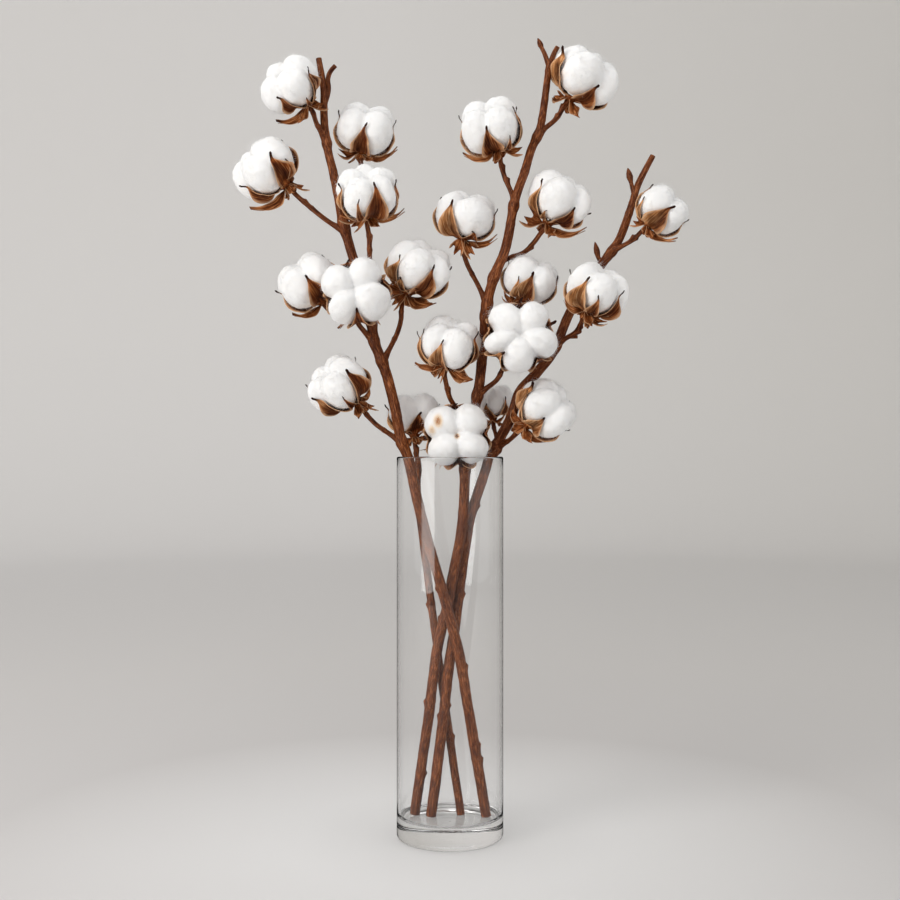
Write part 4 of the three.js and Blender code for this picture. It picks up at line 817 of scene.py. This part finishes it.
def valve_shape(head, groove, tip_turn, tip_lift, width, seed):
    """A boat folded into a groove. Its keel follows an even curve of its own or the lint, if that
    stands further out, and its rims ride up the locks on both sides and roll away from them. It
    is widest two fifths of the way up and ends in a thin beak that curls out, with a bead."""
    size = head["size"] * MM
    s = np.linspace(0, 1, VALVE_ROWS)[:, None]
    t = np.sin(np.linspace(-1, 1, VALVE_COLUMNS) * math.pi / 2)[None, :]
    lift = np.radians(VALVE_FIRST_LIFT + (tip_lift - VALVE_FIRST_LIFT) * s) + 0 * t
    girth = VALVE_GIRTH * np.sin(lift)
    room = 0.92 * math.pi / len(head["grooves"]) * girth
    wave = 1 + 0.14 * noise(stacked(s, np.sign(t), 0), (0.13, 1, 1), seed)
    half = width * VALVE_WIDTH * np.interp(s, *VALVE_OUTLINE) * wave
    half = np.minimum(half, np.maximum(room, width * VALVE_WIDTH * 0.1))
    curl = 5 * (draw(seed + 31) - 0.5) * smoothed(s, 0.8, 1) ** 2
    turn = math.radians(groove) + math.radians(tip_turn - groove) * s**2
    turn = turn + (half * t + curl * MM) / girth
    out = bearing(head, turn, lift)

    # How far each point stands from the ball's middle, and how the foot is drawn into the cup.
    rolled_rim = 2.0 * np.abs(t) ** 3 * smoothed(s, 0.1, 0.3) * smoothed(1 - s, 0.15, 0.4)
    gap = 0.9 + 0.3 * np.abs(t) + rolled_rim
    gap += 0.4 * noise(stacked(s, 0.5 * t, 0), (0.11, 0.4, 1), seed + 5)
    over = lint_reach(head, turn, lift, LINT_SOFTNESS) + gap * size
    keel = size / np.hypot(np.sin(lift) / KEEL["out"], np.cos(lift) / KEEL["along"])
    blend = KEEL_BLEND * size
    reach = blend * np.logaddexp(over / blend, keel / blend)
    beak = (1.5 + 4.5 * draw(seed + 37)) * smoothed(s, 0.82, 1) ** 2
    reach = reach + beak * size * min(1, width + 0.3)
    root = head["base"] + head["axis"] * 2.6 * size
    root = root + bearing(head, turn, lift * 0 + math.pi / 2) * 3.4 * size
    rooted = smoothed(s, 0.0, 0.2)[..., None]
    inner = root * (1 - rooted) + (head["ball"] + out * reach[..., None]) * rooted

    # The outer face: veined, thin at the rims and ridged along the keel.
    across = half * t
    wander = noise(stacked(across, 20 * MM * s, 0), (3 * MM, 9 * MM, 1), seed + 3)
    veins = np.cos(across / (0.5 * MM) + 3 * wander)
    face = (1 - np.abs(t) ** 4) * smoothed(s, 0.05, 0.2) * smoothed(1 - s, 0.1, 0.3)
    ridge = 0.4 * MM * np.exp(-((across / (0.6 * MM)) ** 2)) * smoothed(1 - s, 0.05, 0.2)
    thick = VALVE_THICKNESS * (1 - 0.5 * np.abs(t) ** 6) + 0.1 * MM * veins * face + ridge
    outer = inner + out * thick[..., None]

    # Where it is pale at the rims and dark in the beak, with painted shade in the hollow along the
    # keel and painted light on the faces that turn to the left and front.
    rim = smoothed(np.abs(t), 0.74, 0.92) * smoothed(1 - s, 0.06, 0.2) * smoothed(s, 0.02, 0.2)
    rim = rim * (0.65 + 0.35 * noise(stacked(s, np.sign(t), 0), (0.06, 1, 1), seed + 13))
    # Painted shade: darker in the hollow along the keel, most in the middle of the fold.
    painted_hollow_shade = (1 - np.abs(t) ** 1.6) * smoothed(s, 0.1, 0.35) * smoothed(1 - s, 0.1, 0.35)
    darker_tone_and_painted_shade = np.maximum(smoothed(s, 0.84, 0.94), 0.7 * painted_hollow_shade)
    # Painted light: paler where the valve faces the left and front, as if lit from there.
    paler_tone_and_painted_light = smoothed(-out[..., 0] - 0.5 * out[..., 1], 0.35, 1.0)
    marks = stacked(rim, darker_tone_and_painted_shade, paler_tone_and_painted_light, across, 25 * MM * s, draw(seed + 9))
    return shell(inner, outer, marks)


BRACT_ROWS, BRACT_COLUMNS = 17, 11
BRACT_THICKNESS = 0.45 * MM
BRACT_OUTLINES = {
    STRAP: [[0, 0.3, 0.7, 0.88, 1], [1.0, 1.1, 0.8, 0.5, 0.6]],
    RAGGED: [[0, 0.25, 0.6, 1], [0.6, 0.95, 1.25, 1.2]],
    ROUND: [[0, 0.35, 0.6, 0.85, 1], [0.6, 1.1, 1.15, 0.8, 0.3]],
}


def bract_shape(head, turn_degrees, rise_degrees, length, half, kind, seed):
    """A dry leaf of the collar: it leaves the cup sideways, dips, then rises or droops, twisted
    and creased along its middle, its end cut into prongs that curl up."""
    turn, rise = math.radians(turn_degrees), math.radians(rise_degrees)
    outwards = head["front"] * math.cos(turn) + head["right"] * math.sin(turn)
    sideways = np.cross(head["axis"], outwards)
    s = np.linspace(0, 1, BRACT_ROWS)[:, None]
    t = np.linspace(-1, 1, BRACT_COLUMNS)[None, :]
    if kind == STRAP:
        notch = 0.26 * np.maximum(0, 1 - np.abs(t - 0.2) / 0.6)
    elif kind == RAGGED:
        prongs = np.array([-0.95, -0.25 + 0.3 * draw(seed + 2), 0.95])
        notch = 1.1 * np.min(np.abs(t[..., None] - prongs), axis=-1)
        notch = notch + 0.22 * draw(seed + np.round(1.3 * t))
    else:
        notch = 0.25 * t**2 + 0.12 * draw(seed + np.round(2.5 * t))
    along = s * (1 - notch * smoothed(s, 0.3, 1))
    width = 1.25 * half * MM * np.interp(s, *BRACT_OUTLINES[kind])
    bend = 3 if rise > 0 else 1.4
    free = np.minimum(1, 2.5 * along)
    rolled = 1.15 * math.sin(turn) + 0.5 * (draw(turn_degrees + 31 * head["number"]) - 0.5)
    twist = rolled * free * (1 + (0.6 if kind == STRAP else 0.2) * along)
    crumple = 1.2 * noise(stacked(along, t, 0), (0.3, 0.8, 1), seed)
    crease = 0.28 * half * (np.abs(t) ** 1.5 - 0.4)
    fold = (crease + crumple + 0.8 * np.abs(t) * smoothed(along, 0.5, 1)) * free
    out = 2.4 + length * math.cos(rise) * along
    up = 2.0 - 3.4 * free + length * math.sin(rise) * along**bend + 1.8 * smoothed(along, 0.75, 1)
    slope = math.sin(rise) * bend * along ** (bend - 1)
    size = head["size"] * MM
    spine = outwards * (out * size)[..., None] + head["axis"] * (up * size)[..., None]
    face = head["axis"] * math.cos(rise) - outwards * slope[..., None]
    face = unit(face - sideways * np.sin(twist)[..., None])
    edgeways = sideways * np.cos(twist)[..., None] + head["axis"] * np.sin(twist)[..., None]
    inner = head["base"] + spine + edgeways * (width * t * head["size"])[..., None]
    inner = inner + face * (fold * size)[..., None]
    across = width * t
    ribs = 0.08 * MM * np.cos(across / (0.5 * MM)) * (1 - np.abs(t) ** 4)
    outer = inner - face * (BRACT_THICKNESS + ribs)[..., None]
    rim = 0.6 * smoothed(np.abs(t), 0.75, 1.0)
    darker_tone_and_painted_shade = 0.65 * smoothed(along, 0.88, 1.0)
    marks = stacked(rim, darker_tone_and_painted_shade, 0.15, across, 25 * MM * along, draw(seed + 4))
    return shell(inner, outer, marks)


CUP_SIDES = 40
CUP_HEIGHTS = np.array([0.15, 0.3, 1.2, 2.6, 4.0, 4.6, 4.4, 3.9])[:, None]
CUP_RADII = np.array([1.8, 3.0, 4.1, 5.0, 5.6, 5.7, 5.2, 2.5])[:, None]


def cup_shape(head):
    """The cup: a low bowl on the end of the stalk, with a lobed brim, closed by a shallow dish."""
    size = head["size"] * MM
    turn = np.linspace(0, 2 * math.pi, CUP_SIDES, endpoint=False)
    lobes = 1 + 0.06 * np.cos(len(head["grooves"]) * (turn - head["grooves"][0][0]))[None, :]
    across = CUP_RADII * size * lobes
    around = head["front"] * np.cos(turn)[:, None] + head["right"] * np.sin(turn)[:, None]
    grid = head["base"] + around[None] * across[..., None]
    grid = grid + head["axis"] * (CUP_HEIGHTS[..., None] * size)
    return rings(grid, stacked(0, 0.25, 0, turn * across, CUP_HEIGHTS * size, 0.3))


HUSK_MARKS = ["rim", "darker_tone_and_painted_shade", "paler_tone_and_painted_light", "across", "along", "tone"]
PALE_RIM = (0.88, 0.56, 0.33, 1)
NEARLY_BLACK = (0.022, 0.003, 0.0005, 1)
husk, tree, shader = new_material("dry_husk", Roughness=0.55, Specular_IOR_Level=0.12)
fibres = texture(tree, stretched(tree, ("across", "along", "tone"), (1, 0.07, 0.02)), 1300, 5, 0.65)
blotches = texture(tree, stretched(tree, ("across", "along", "tone"), (1, 0.6, 0.3)), 190, 3, 0.5)
husk_colour = ramp(tree, fibres, [
    (0.32, (0.022, 0.002, 0.0002, 1)),
    (0.5, (0.2, 0.046, 0.007, 1)),
    (0.68, (0.62, 0.25, 0.09, 1)),
])
# The paler colour: painted light on the valves' faces that turn to the left and front, and a paler
# tone all over the bracts, their own colour.
paler_and_painted_lit_colour = ramp(tree, fibres, [
    (0.32, (0.13, 0.036, 0.007, 1)),
    (0.5, (0.58, 0.25, 0.09, 1)),
    (0.68, (0.95, 0.65, 0.38, 1)),
])
husk_colour = mixed(tree, attribute(tree, "paler_tone_and_painted_light").outputs["Fac"], husk_colour, paler_and_painted_lit_colour)
blotch = ramp(tree, blotches, [(0.36, (0.48, 0.38, 0.3, 1)), (0.62, (1.4, 1.4, 1.35, 1))])
husk_colour = mixed(tree, 1.0, husk_colour, blotch, "MULTIPLY")
husk_colour = mixed(tree, attribute(tree, "rim").outputs["Fac"], husk_colour, PALE_RIM)
# The darker mark: the beaks and bract tips dark in their own colour, the cup a little darker, and
# painted shade in the valves' hollows.
husk_colour = mixed(tree, attribute(tree, "darker_tone_and_painted_shade").outputs["Fac"], husk_colour, NEARLY_BLACK)
tree.links.new(husk_colour, shader.inputs["Base Color"])
bumped(tree, shader, fibres, 0.4 * MM, 0.7)

for name, head in HEADS.items():
    number = head["number"]
    shapes = [cup_shape(head)]
    for k, valve in enumerate(head["valves"]):
        shapes.append(valve_shape(head, *valve, number * 7 + k))
    for k, tongue in enumerate(head.get("tongues", [])):
        shapes.append(valve_shape(head, *tongue, number * 7 + 50 + k))
    scraps = []
    for k in range(1, 3):
        turn, rise = 360 * draw(number + 0.31 * k), -15 - 40 * draw(number + 0.47 * k)
        length, half = 9 + 6 * draw(number + 0.59 * k), 3.0 + 1.6 * draw(number + 0.73 * k)
        scraps.append((turn, rise, length, half, ROUND))
    for k, bract in enumerate(head["bracts"] + scraps):
        shapes.append(bract_shape(head, *bract, number * 9 + k))
    add_piece(f"husk_{name}", joined(shapes), HUSK_MARKS, husk, "husk", f"bur_{name}")

# The lint: soft white cotton that fills each husk, one puffed lock in each gap between the valves,
# creased where the locks meet. It clings to the husk that it grew in, and loose fibres stand off
# it all over and soften its outline.
LINT_ROWS = 42
LINT_COLUMNS_A_LOCK = {5: 16, 4: 20}
CREASE_DEPTH, FACING_CREASE_DEPTH = 0.6 * MM, 2.6 * MM
CREASE_WIDTH = 0.17
FIBRES = 2300
FIBRE_RADIUS = 0.075 * MM

# Two brown spots on the head at the vase's lip, and painted shade for the dark hole between its
# locks, each as its place from the front (x, z), half its width and height, all in mm, and its
# strength.
STAINS_AND_HOLE_SHADE = {
    "19": [(-10.9, 389.7, 3.4, 5, 0.72), (-16.4, 381.5, 2.8, 4.2, 0.45), (6.4, 376, 1.9, 1.9, 1)],
}


def lint_skin(head, turn, lift):
    """Points on the lint: its reach, drawn in along the creases, most on a head that faces the
    front, then puffed by slow noise and roughened by quick noise. Also the ways out of the ball
    there, and the turn from each to the nearest crease."""
    out = bearing(head, turn, lift)
    reach = lint_reach(head, turn, lift, LINT_SOFTNESS)
    turned = np.stack([turn - groove for groove, _ in head["grooves"]])
    nearest = np.abs(turned - 2 * math.pi * np.round(turned / (2 * math.pi))).min(axis=0)
    depth = (CREASE_DEPTH if head["sway"] else FACING_CREASE_DEPTH) * head["size"]
    reach = reach - depth * np.exp(-((nearest / CREASE_WIDTH) ** 2)) * np.sin(lift) ** 2
    spot = out * reach[..., None]
    seed = head["number"]
    puff = 0.8 * noise(spot, 11 * MM, seed) + 0.6 * noise(spot, 5 * MM, seed + 40)
    puff += 0.35 * noise(spot, 2.4 * MM, seed + 80)
    reach = reach + (puff - 0.4) * MM * head["size"]
    return head["ball"] + out * reach[..., None], out, nearest


def lint_shape(head):
    """The locks as one closed skin, its columns set so that each crease lies on one."""
    columns = LINT_COLUMNS_A_LOCK[len(head["grooves"])]
    turn = np.concatenate([
        np.linspace(groove, following, columns, endpoint=False)
        for groove, following in head["grooves"]
    ])[None, :]
    lift = np.linspace(0.02, 0.985, LINT_ROWS)[:, None] * math.pi + 0 * turn
    points, *_ = lint_skin(head, turn + 0 * lift, lift)
    in_front = points[..., 1] < head["ball"][1]
    stain_and_hole_shade = 0 * lift
    for x, z, half, tall, strength in STAINS_AND_HOLE_SHADE.get(f"{head['number']:02d}", []):
        sideways = (points[..., 0] - x * MM) / (half * MM)
        upwards = (points[..., 2] - z * MM) / (tall * MM)
        stain_and_hole_shade = np.maximum(stain_and_hole_shade, strength * np.exp(-(sideways**2 + upwards**2)) * in_front)
    return rings(points, stacked(lift / math.pi, stain_and_hole_shade, 0))


def fibre_shapes(head):
    """Loose fibres: each a slim three-sided thread from a drawn spot on the skin, that stands off
    it at a slant and thins to its end, short and low where a valve lies over the lint."""
    order = np.arange(FIBRES) + 3000 * head["number"]
    turn = 2 * math.pi * draw(order)
    lift = np.arccos(1 - 2 * (0.12 + 0.88 * draw(order + 0.37)))
    start, out, nearest = lint_skin(head, turn, lift)
    swing = 2 * math.pi * draw(order + 0.61)
    first = unit(np.cross(out, head["axis"] + 0.01))
    aside = first * np.cos(swing)[:, None] + np.cross(out, first) * np.sin(swing)[:, None]
    free = np.maximum(smoothed(nearest, 0.3, 0.55), smoothed(lift, 1.8, 2.2))
    size = head["size"] * MM * (0.3 + 0.7 * free)
    length = (2.5 + 4.5 * draw(order + 0.83)) * size
    height = (0.6 + 3.4 * draw(order + 0.19) ** 1.4) * size
    root = start - out * 0.3 * MM
    tip = root + aside * length[:, None] + out * height[:, None]
    corner = np.linspace(0, 2 * math.pi, 3, endpoint=False)[:, None]
    over = np.cross(out, aside)
    spokes = FIBRE_RADIUS * (out[:, None] * np.cos(corner) + over[:, None] * np.sin(corner))
    points = np.concatenate([root[:, None] + spokes, tip[:, None] + 0.4 * spokes], axis=1)
    starts = 6 * np.arange(FIBRES)[:, None, None]
    quads = starts + np.array([[0, 1, 4, 3], [1, 2, 5, 4], [2, 0, 3, 5]])
    tris = starts + np.array([[0, 2, 1], [3, 4, 5]])
    return outward({
        "points": points.reshape(-1, 3), "quads": quads.reshape(-1, 4),
        "tris": tris.reshape(-1, 3), "marks": np.repeat(stacked(lift / math.pi, 0, 1), 6, axis=0),
    })


CLEAN_WHITE = (0.935, 0.935, 0.935, 1)
TANNED = (0.78, 0.62, 0.47, 1)
LINT_MARKS = ["height", "stain_and_hole_shade", "loose"]
lint, tree, shader = new_material(
    "cotton_lint",
    Roughness=0.95,
    Specular_IOR_Level=0.15,
    Subsurface_Weight=0.4,
    Subsurface_Radius=(1.0, 0.95, 0.88),
    Subsurface_Scale=1.3 * MM,
    Sheen_Weight=0.3,
    Sheen_Roughness=0.45,
)
spot = tree.nodes.new("ShaderNodeTexCoord").outputs["Object"]
warm = texture(tree, spot, 60, 2, 0.5)
low = ramp(tree, attribute(tree, "height").outputs["Fac"], [
    (0.16, (1, 1, 1, 1)), (0.42, (0, 0, 0, 1)),
])
cloudy = ramp(tree, warm, [(0.42, (0, 0, 0, 1)), (0.7, (0.8, 0.8, 0.8, 1))])
tan = mixed(tree, 1.0, low, cloudy, "MULTIPLY")
lint_colour = mixed(tree, tan, CLEAN_WHITE, TANNED)
# Brown where stained, and near black at full strength: painted shade in the hole between the locks.
stain_and_hole_shade_colour = ramp(tree, attribute(tree, "stain_and_hole_shade").outputs["Fac"], [
    (0.03, (1, 1, 1, 1)),
    (0.3, (0.86, 0.68, 0.5, 1)),
    (0.62, (0.5, 0.24, 0.11, 1)),
    (0.95, (0.05, 0.02, 0.01, 1)),
])
lint_colour = mixed(tree, 1.0, lint_colour, stain_and_hole_shade_colour, "MULTIPLY")
tree.links.new(lint_colour, shader.inputs["Base Color"])
bumped(tree, shader, texture(tree, spot, 700, 6, 0.7), 0.5 * MM, 0.5)
lit_through = tree.nodes.new("ShaderNodeBsdfTranslucent")
lit_through.inputs["Color"].default_value = (0.97, 0.97, 0.97, 1)
thinness = tree.nodes.new("ShaderNodeMath")
thinness.operation = "MULTIPLY"
thinness.inputs[1].default_value = 0.55
tree.links.new(attribute(tree, "loose").outputs["Fac"], thinness.inputs[0])
fluff = tree.nodes.new("ShaderNodeMixShader")
tree.links.new(thinness.outputs[0], fluff.inputs[0])
tree.links.new(shader.outputs[0], fluff.inputs[1])
tree.links.new(lit_through.outputs[0], fluff.inputs[2])
tree.links.new(fluff.outputs[0], tree.nodes["Material Output"].inputs["Surface"])

for name, head in HEADS.items():
    shapes = [lint_shape(head), fibre_shapes(head)]
    add_piece(f"lint_{name}", joined(shapes), LINT_MARKS, lint, "lint", f"cotton_{name}")

# The studio: a pale paper floor that turns up into a wall far behind on every side, a tall softbox
# to the left of the camera, a wide dim one to the right, one overhead, and one high in front.
FLOOR_RADIUS = 3.2
WALL_BEND = 1.6
WALL_HEIGHT = 2.7
STUDIO_SIDES = 96
backdrop_grid = lathed(np.vstack([
    [(0.001, 0)],
    np.column_stack([np.linspace(0.2, FLOOR_RADIUS, 12), np.zeros(12)]),
    arc((FLOOR_RADIUS, WALL_BEND), WALL_BEND, -90, 0, 24)[1:],
    [(FLOOR_RADIUS + WALL_BEND, WALL_HEIGHT)],
]), STUDIO_SIDES)
rows, sides = backdrop_grid.shape[:2]
corner = np.arange(rows * sides).reshape(rows, sides)
beside = np.roll(corner, -1, axis=1)
faces = np.stack([corner[:-1], beside[:-1], beside[1:], corner[1:]], axis=-1).reshape(-1, 4)
mesh = bpy.data.meshes.new("studio")
mesh.from_pydata(backdrop_grid.reshape(-1, 3).tolist(), [], faces.tolist() + [corner[0].tolist()])
mesh.shade_smooth()
paper, tree, shader = new_material("studio_paper", Roughness=0.9, Specular_IOR_Level=0.2)
flat_place = tree.nodes.new("ShaderNodeVectorMath")
flat_place.operation = "MULTIPLY"
flat_place.inputs[1].default_value = (0.2, 0.2, 0)
tree.links.new(tree.nodes.new("ShaderNodeTexCoord").outputs["Object"], flat_place.inputs[0])
distance = tree.nodes.new("ShaderNodeVectorMath")
distance.operation = "LENGTH"
tree.links.new(flat_place.outputs["Vector"], distance.inputs[0])
# Painted light and shade on the paper, by distance from the middle: light round the vase, a painted
# shade about half a metre out, and lighter again further out and up the wall.
paper_grey_and_painted_light = ramp(tree, distance.outputs["Value"], [
    (0.03, (0.67, 0.665, 0.66, 1)),
    (0.09, (0.53, 0.516, 0.507, 1)),
    (0.2, (0.575, 0.56, 0.546, 1)),
    (0.64, (0.7, 0.69, 0.68, 1)),
    (0.96, (0.82, 0.81, 0.795, 1)),
])
# Painted light from the left: the paper is up to a fifth lighter towards -X than towards +X.
spread = tree.nodes.new("ShaderNodeSeparateXYZ")
tree.links.new(flat_place.outputs["Vector"], spread.inputs[0])
sideways = tree.nodes.new("ShaderNodeMath")
sideways.operation = "ADD"
sideways.inputs[1].default_value = 0.5
tree.links.new(spread.outputs["X"], sideways.inputs[0])
painted_light_from_left = ramp(tree, sideways.outputs[0], [
    (0.1, (1.2, 1.2, 1.21, 1)),
    (0.42, (1.18, 1.18, 1.19, 1)),
    (0.6, (1.1, 1.1, 1.1, 1)),
    (0.9, (1.0, 0.995, 0.985, 1)),
])
paper_grey_and_painted_light = mixed(tree, 1.0, paper_grey_and_painted_light, painted_light_from_left, "MULTIPLY")
tree.links.new(paper_grey_and_painted_light, shader.inputs["Base Color"])
mesh.materials.append(paper)
studio = bpy.data.objects.new("studio", mesh)
bpy.context.scene.collection.objects.link(studio)
studio.visible_glossy = False

world = bpy.data.worlds.new("soft_daylight")
world.use_nodes = True
sky = world.node_tree.nodes["Background"]
sky.inputs["Color"].default_value = (1.0, 0.985, 0.965, 1)
sky.inputs["Strength"].default_value = 0.62
bpy.context.scene.world = world
world.cycles_visibility.glossy = False


def softbox(name, position, aim, width, height, radiance, colour=(1, 1, 1)):
    """A rectangular soft light at a position, turned to shine at a point, as bright all over as
    its radiance says."""
    light = bpy.data.lights.new(name, "AREA")
    light.shape = "RECTANGLE"
    light.size, light.size_y = width, height
    light.energy = radiance * math.pi * width * height
    light.color = colour
    lamp = bpy.data.objects.new(name, light)
    bpy.context.scene.collection.objects.link(lamp)
    lamp.location = position
    away = Vector(aim) - Vector(position)
    lamp.rotation_euler = away.to_track_quat("-Z", "Y").to_euler()


softbox("key", (-1.35, -1.2, 1.0), (0, 0, 0.85), 1.0, 1.95, 3.1, (1, 0.985, 0.96))
softbox("fill", (1.9, -0.8, 1.0), (0, 0, 0.85), 2.2, 1.95, 0.6, (0.97, 0.985, 1))
softbox("top", (-0.3, -0.2, 2.4), (0, 0, 0.5), 1.8, 1.8, 0.8)
softbox("front", (-0.4, -2.2, 2.1), (0, 0, 0.5), 1.6, 0.8, 1.7)
bpy.context.scene.view_settings.view_transform = "Standard"

# The camera: a plain lens on a stand in front of the vase, held level and a little above the
# height of the lip, so that the lip reads as a line and the foot as an ellipse.
CAMERA_DISTANCE = 1.213
CAMERA_HEIGHT = 0.3633
camera = bpy.data.objects.new("camera", bpy.data.cameras.new("camera"))
bpy.context.scene.collection.objects.link(camera)
camera.data.sensor_width = 36
camera.data.lens = 51.6
camera.data.clip_start, camera.data.clip_end = 0.05, 50
camera.location = (0, -CAMERA_DISTANCE, CAMERA_HEIGHT)
camera.rotation_euler = (math.pi / 2, 0, 0)
bpy.context.scene.camera = camera
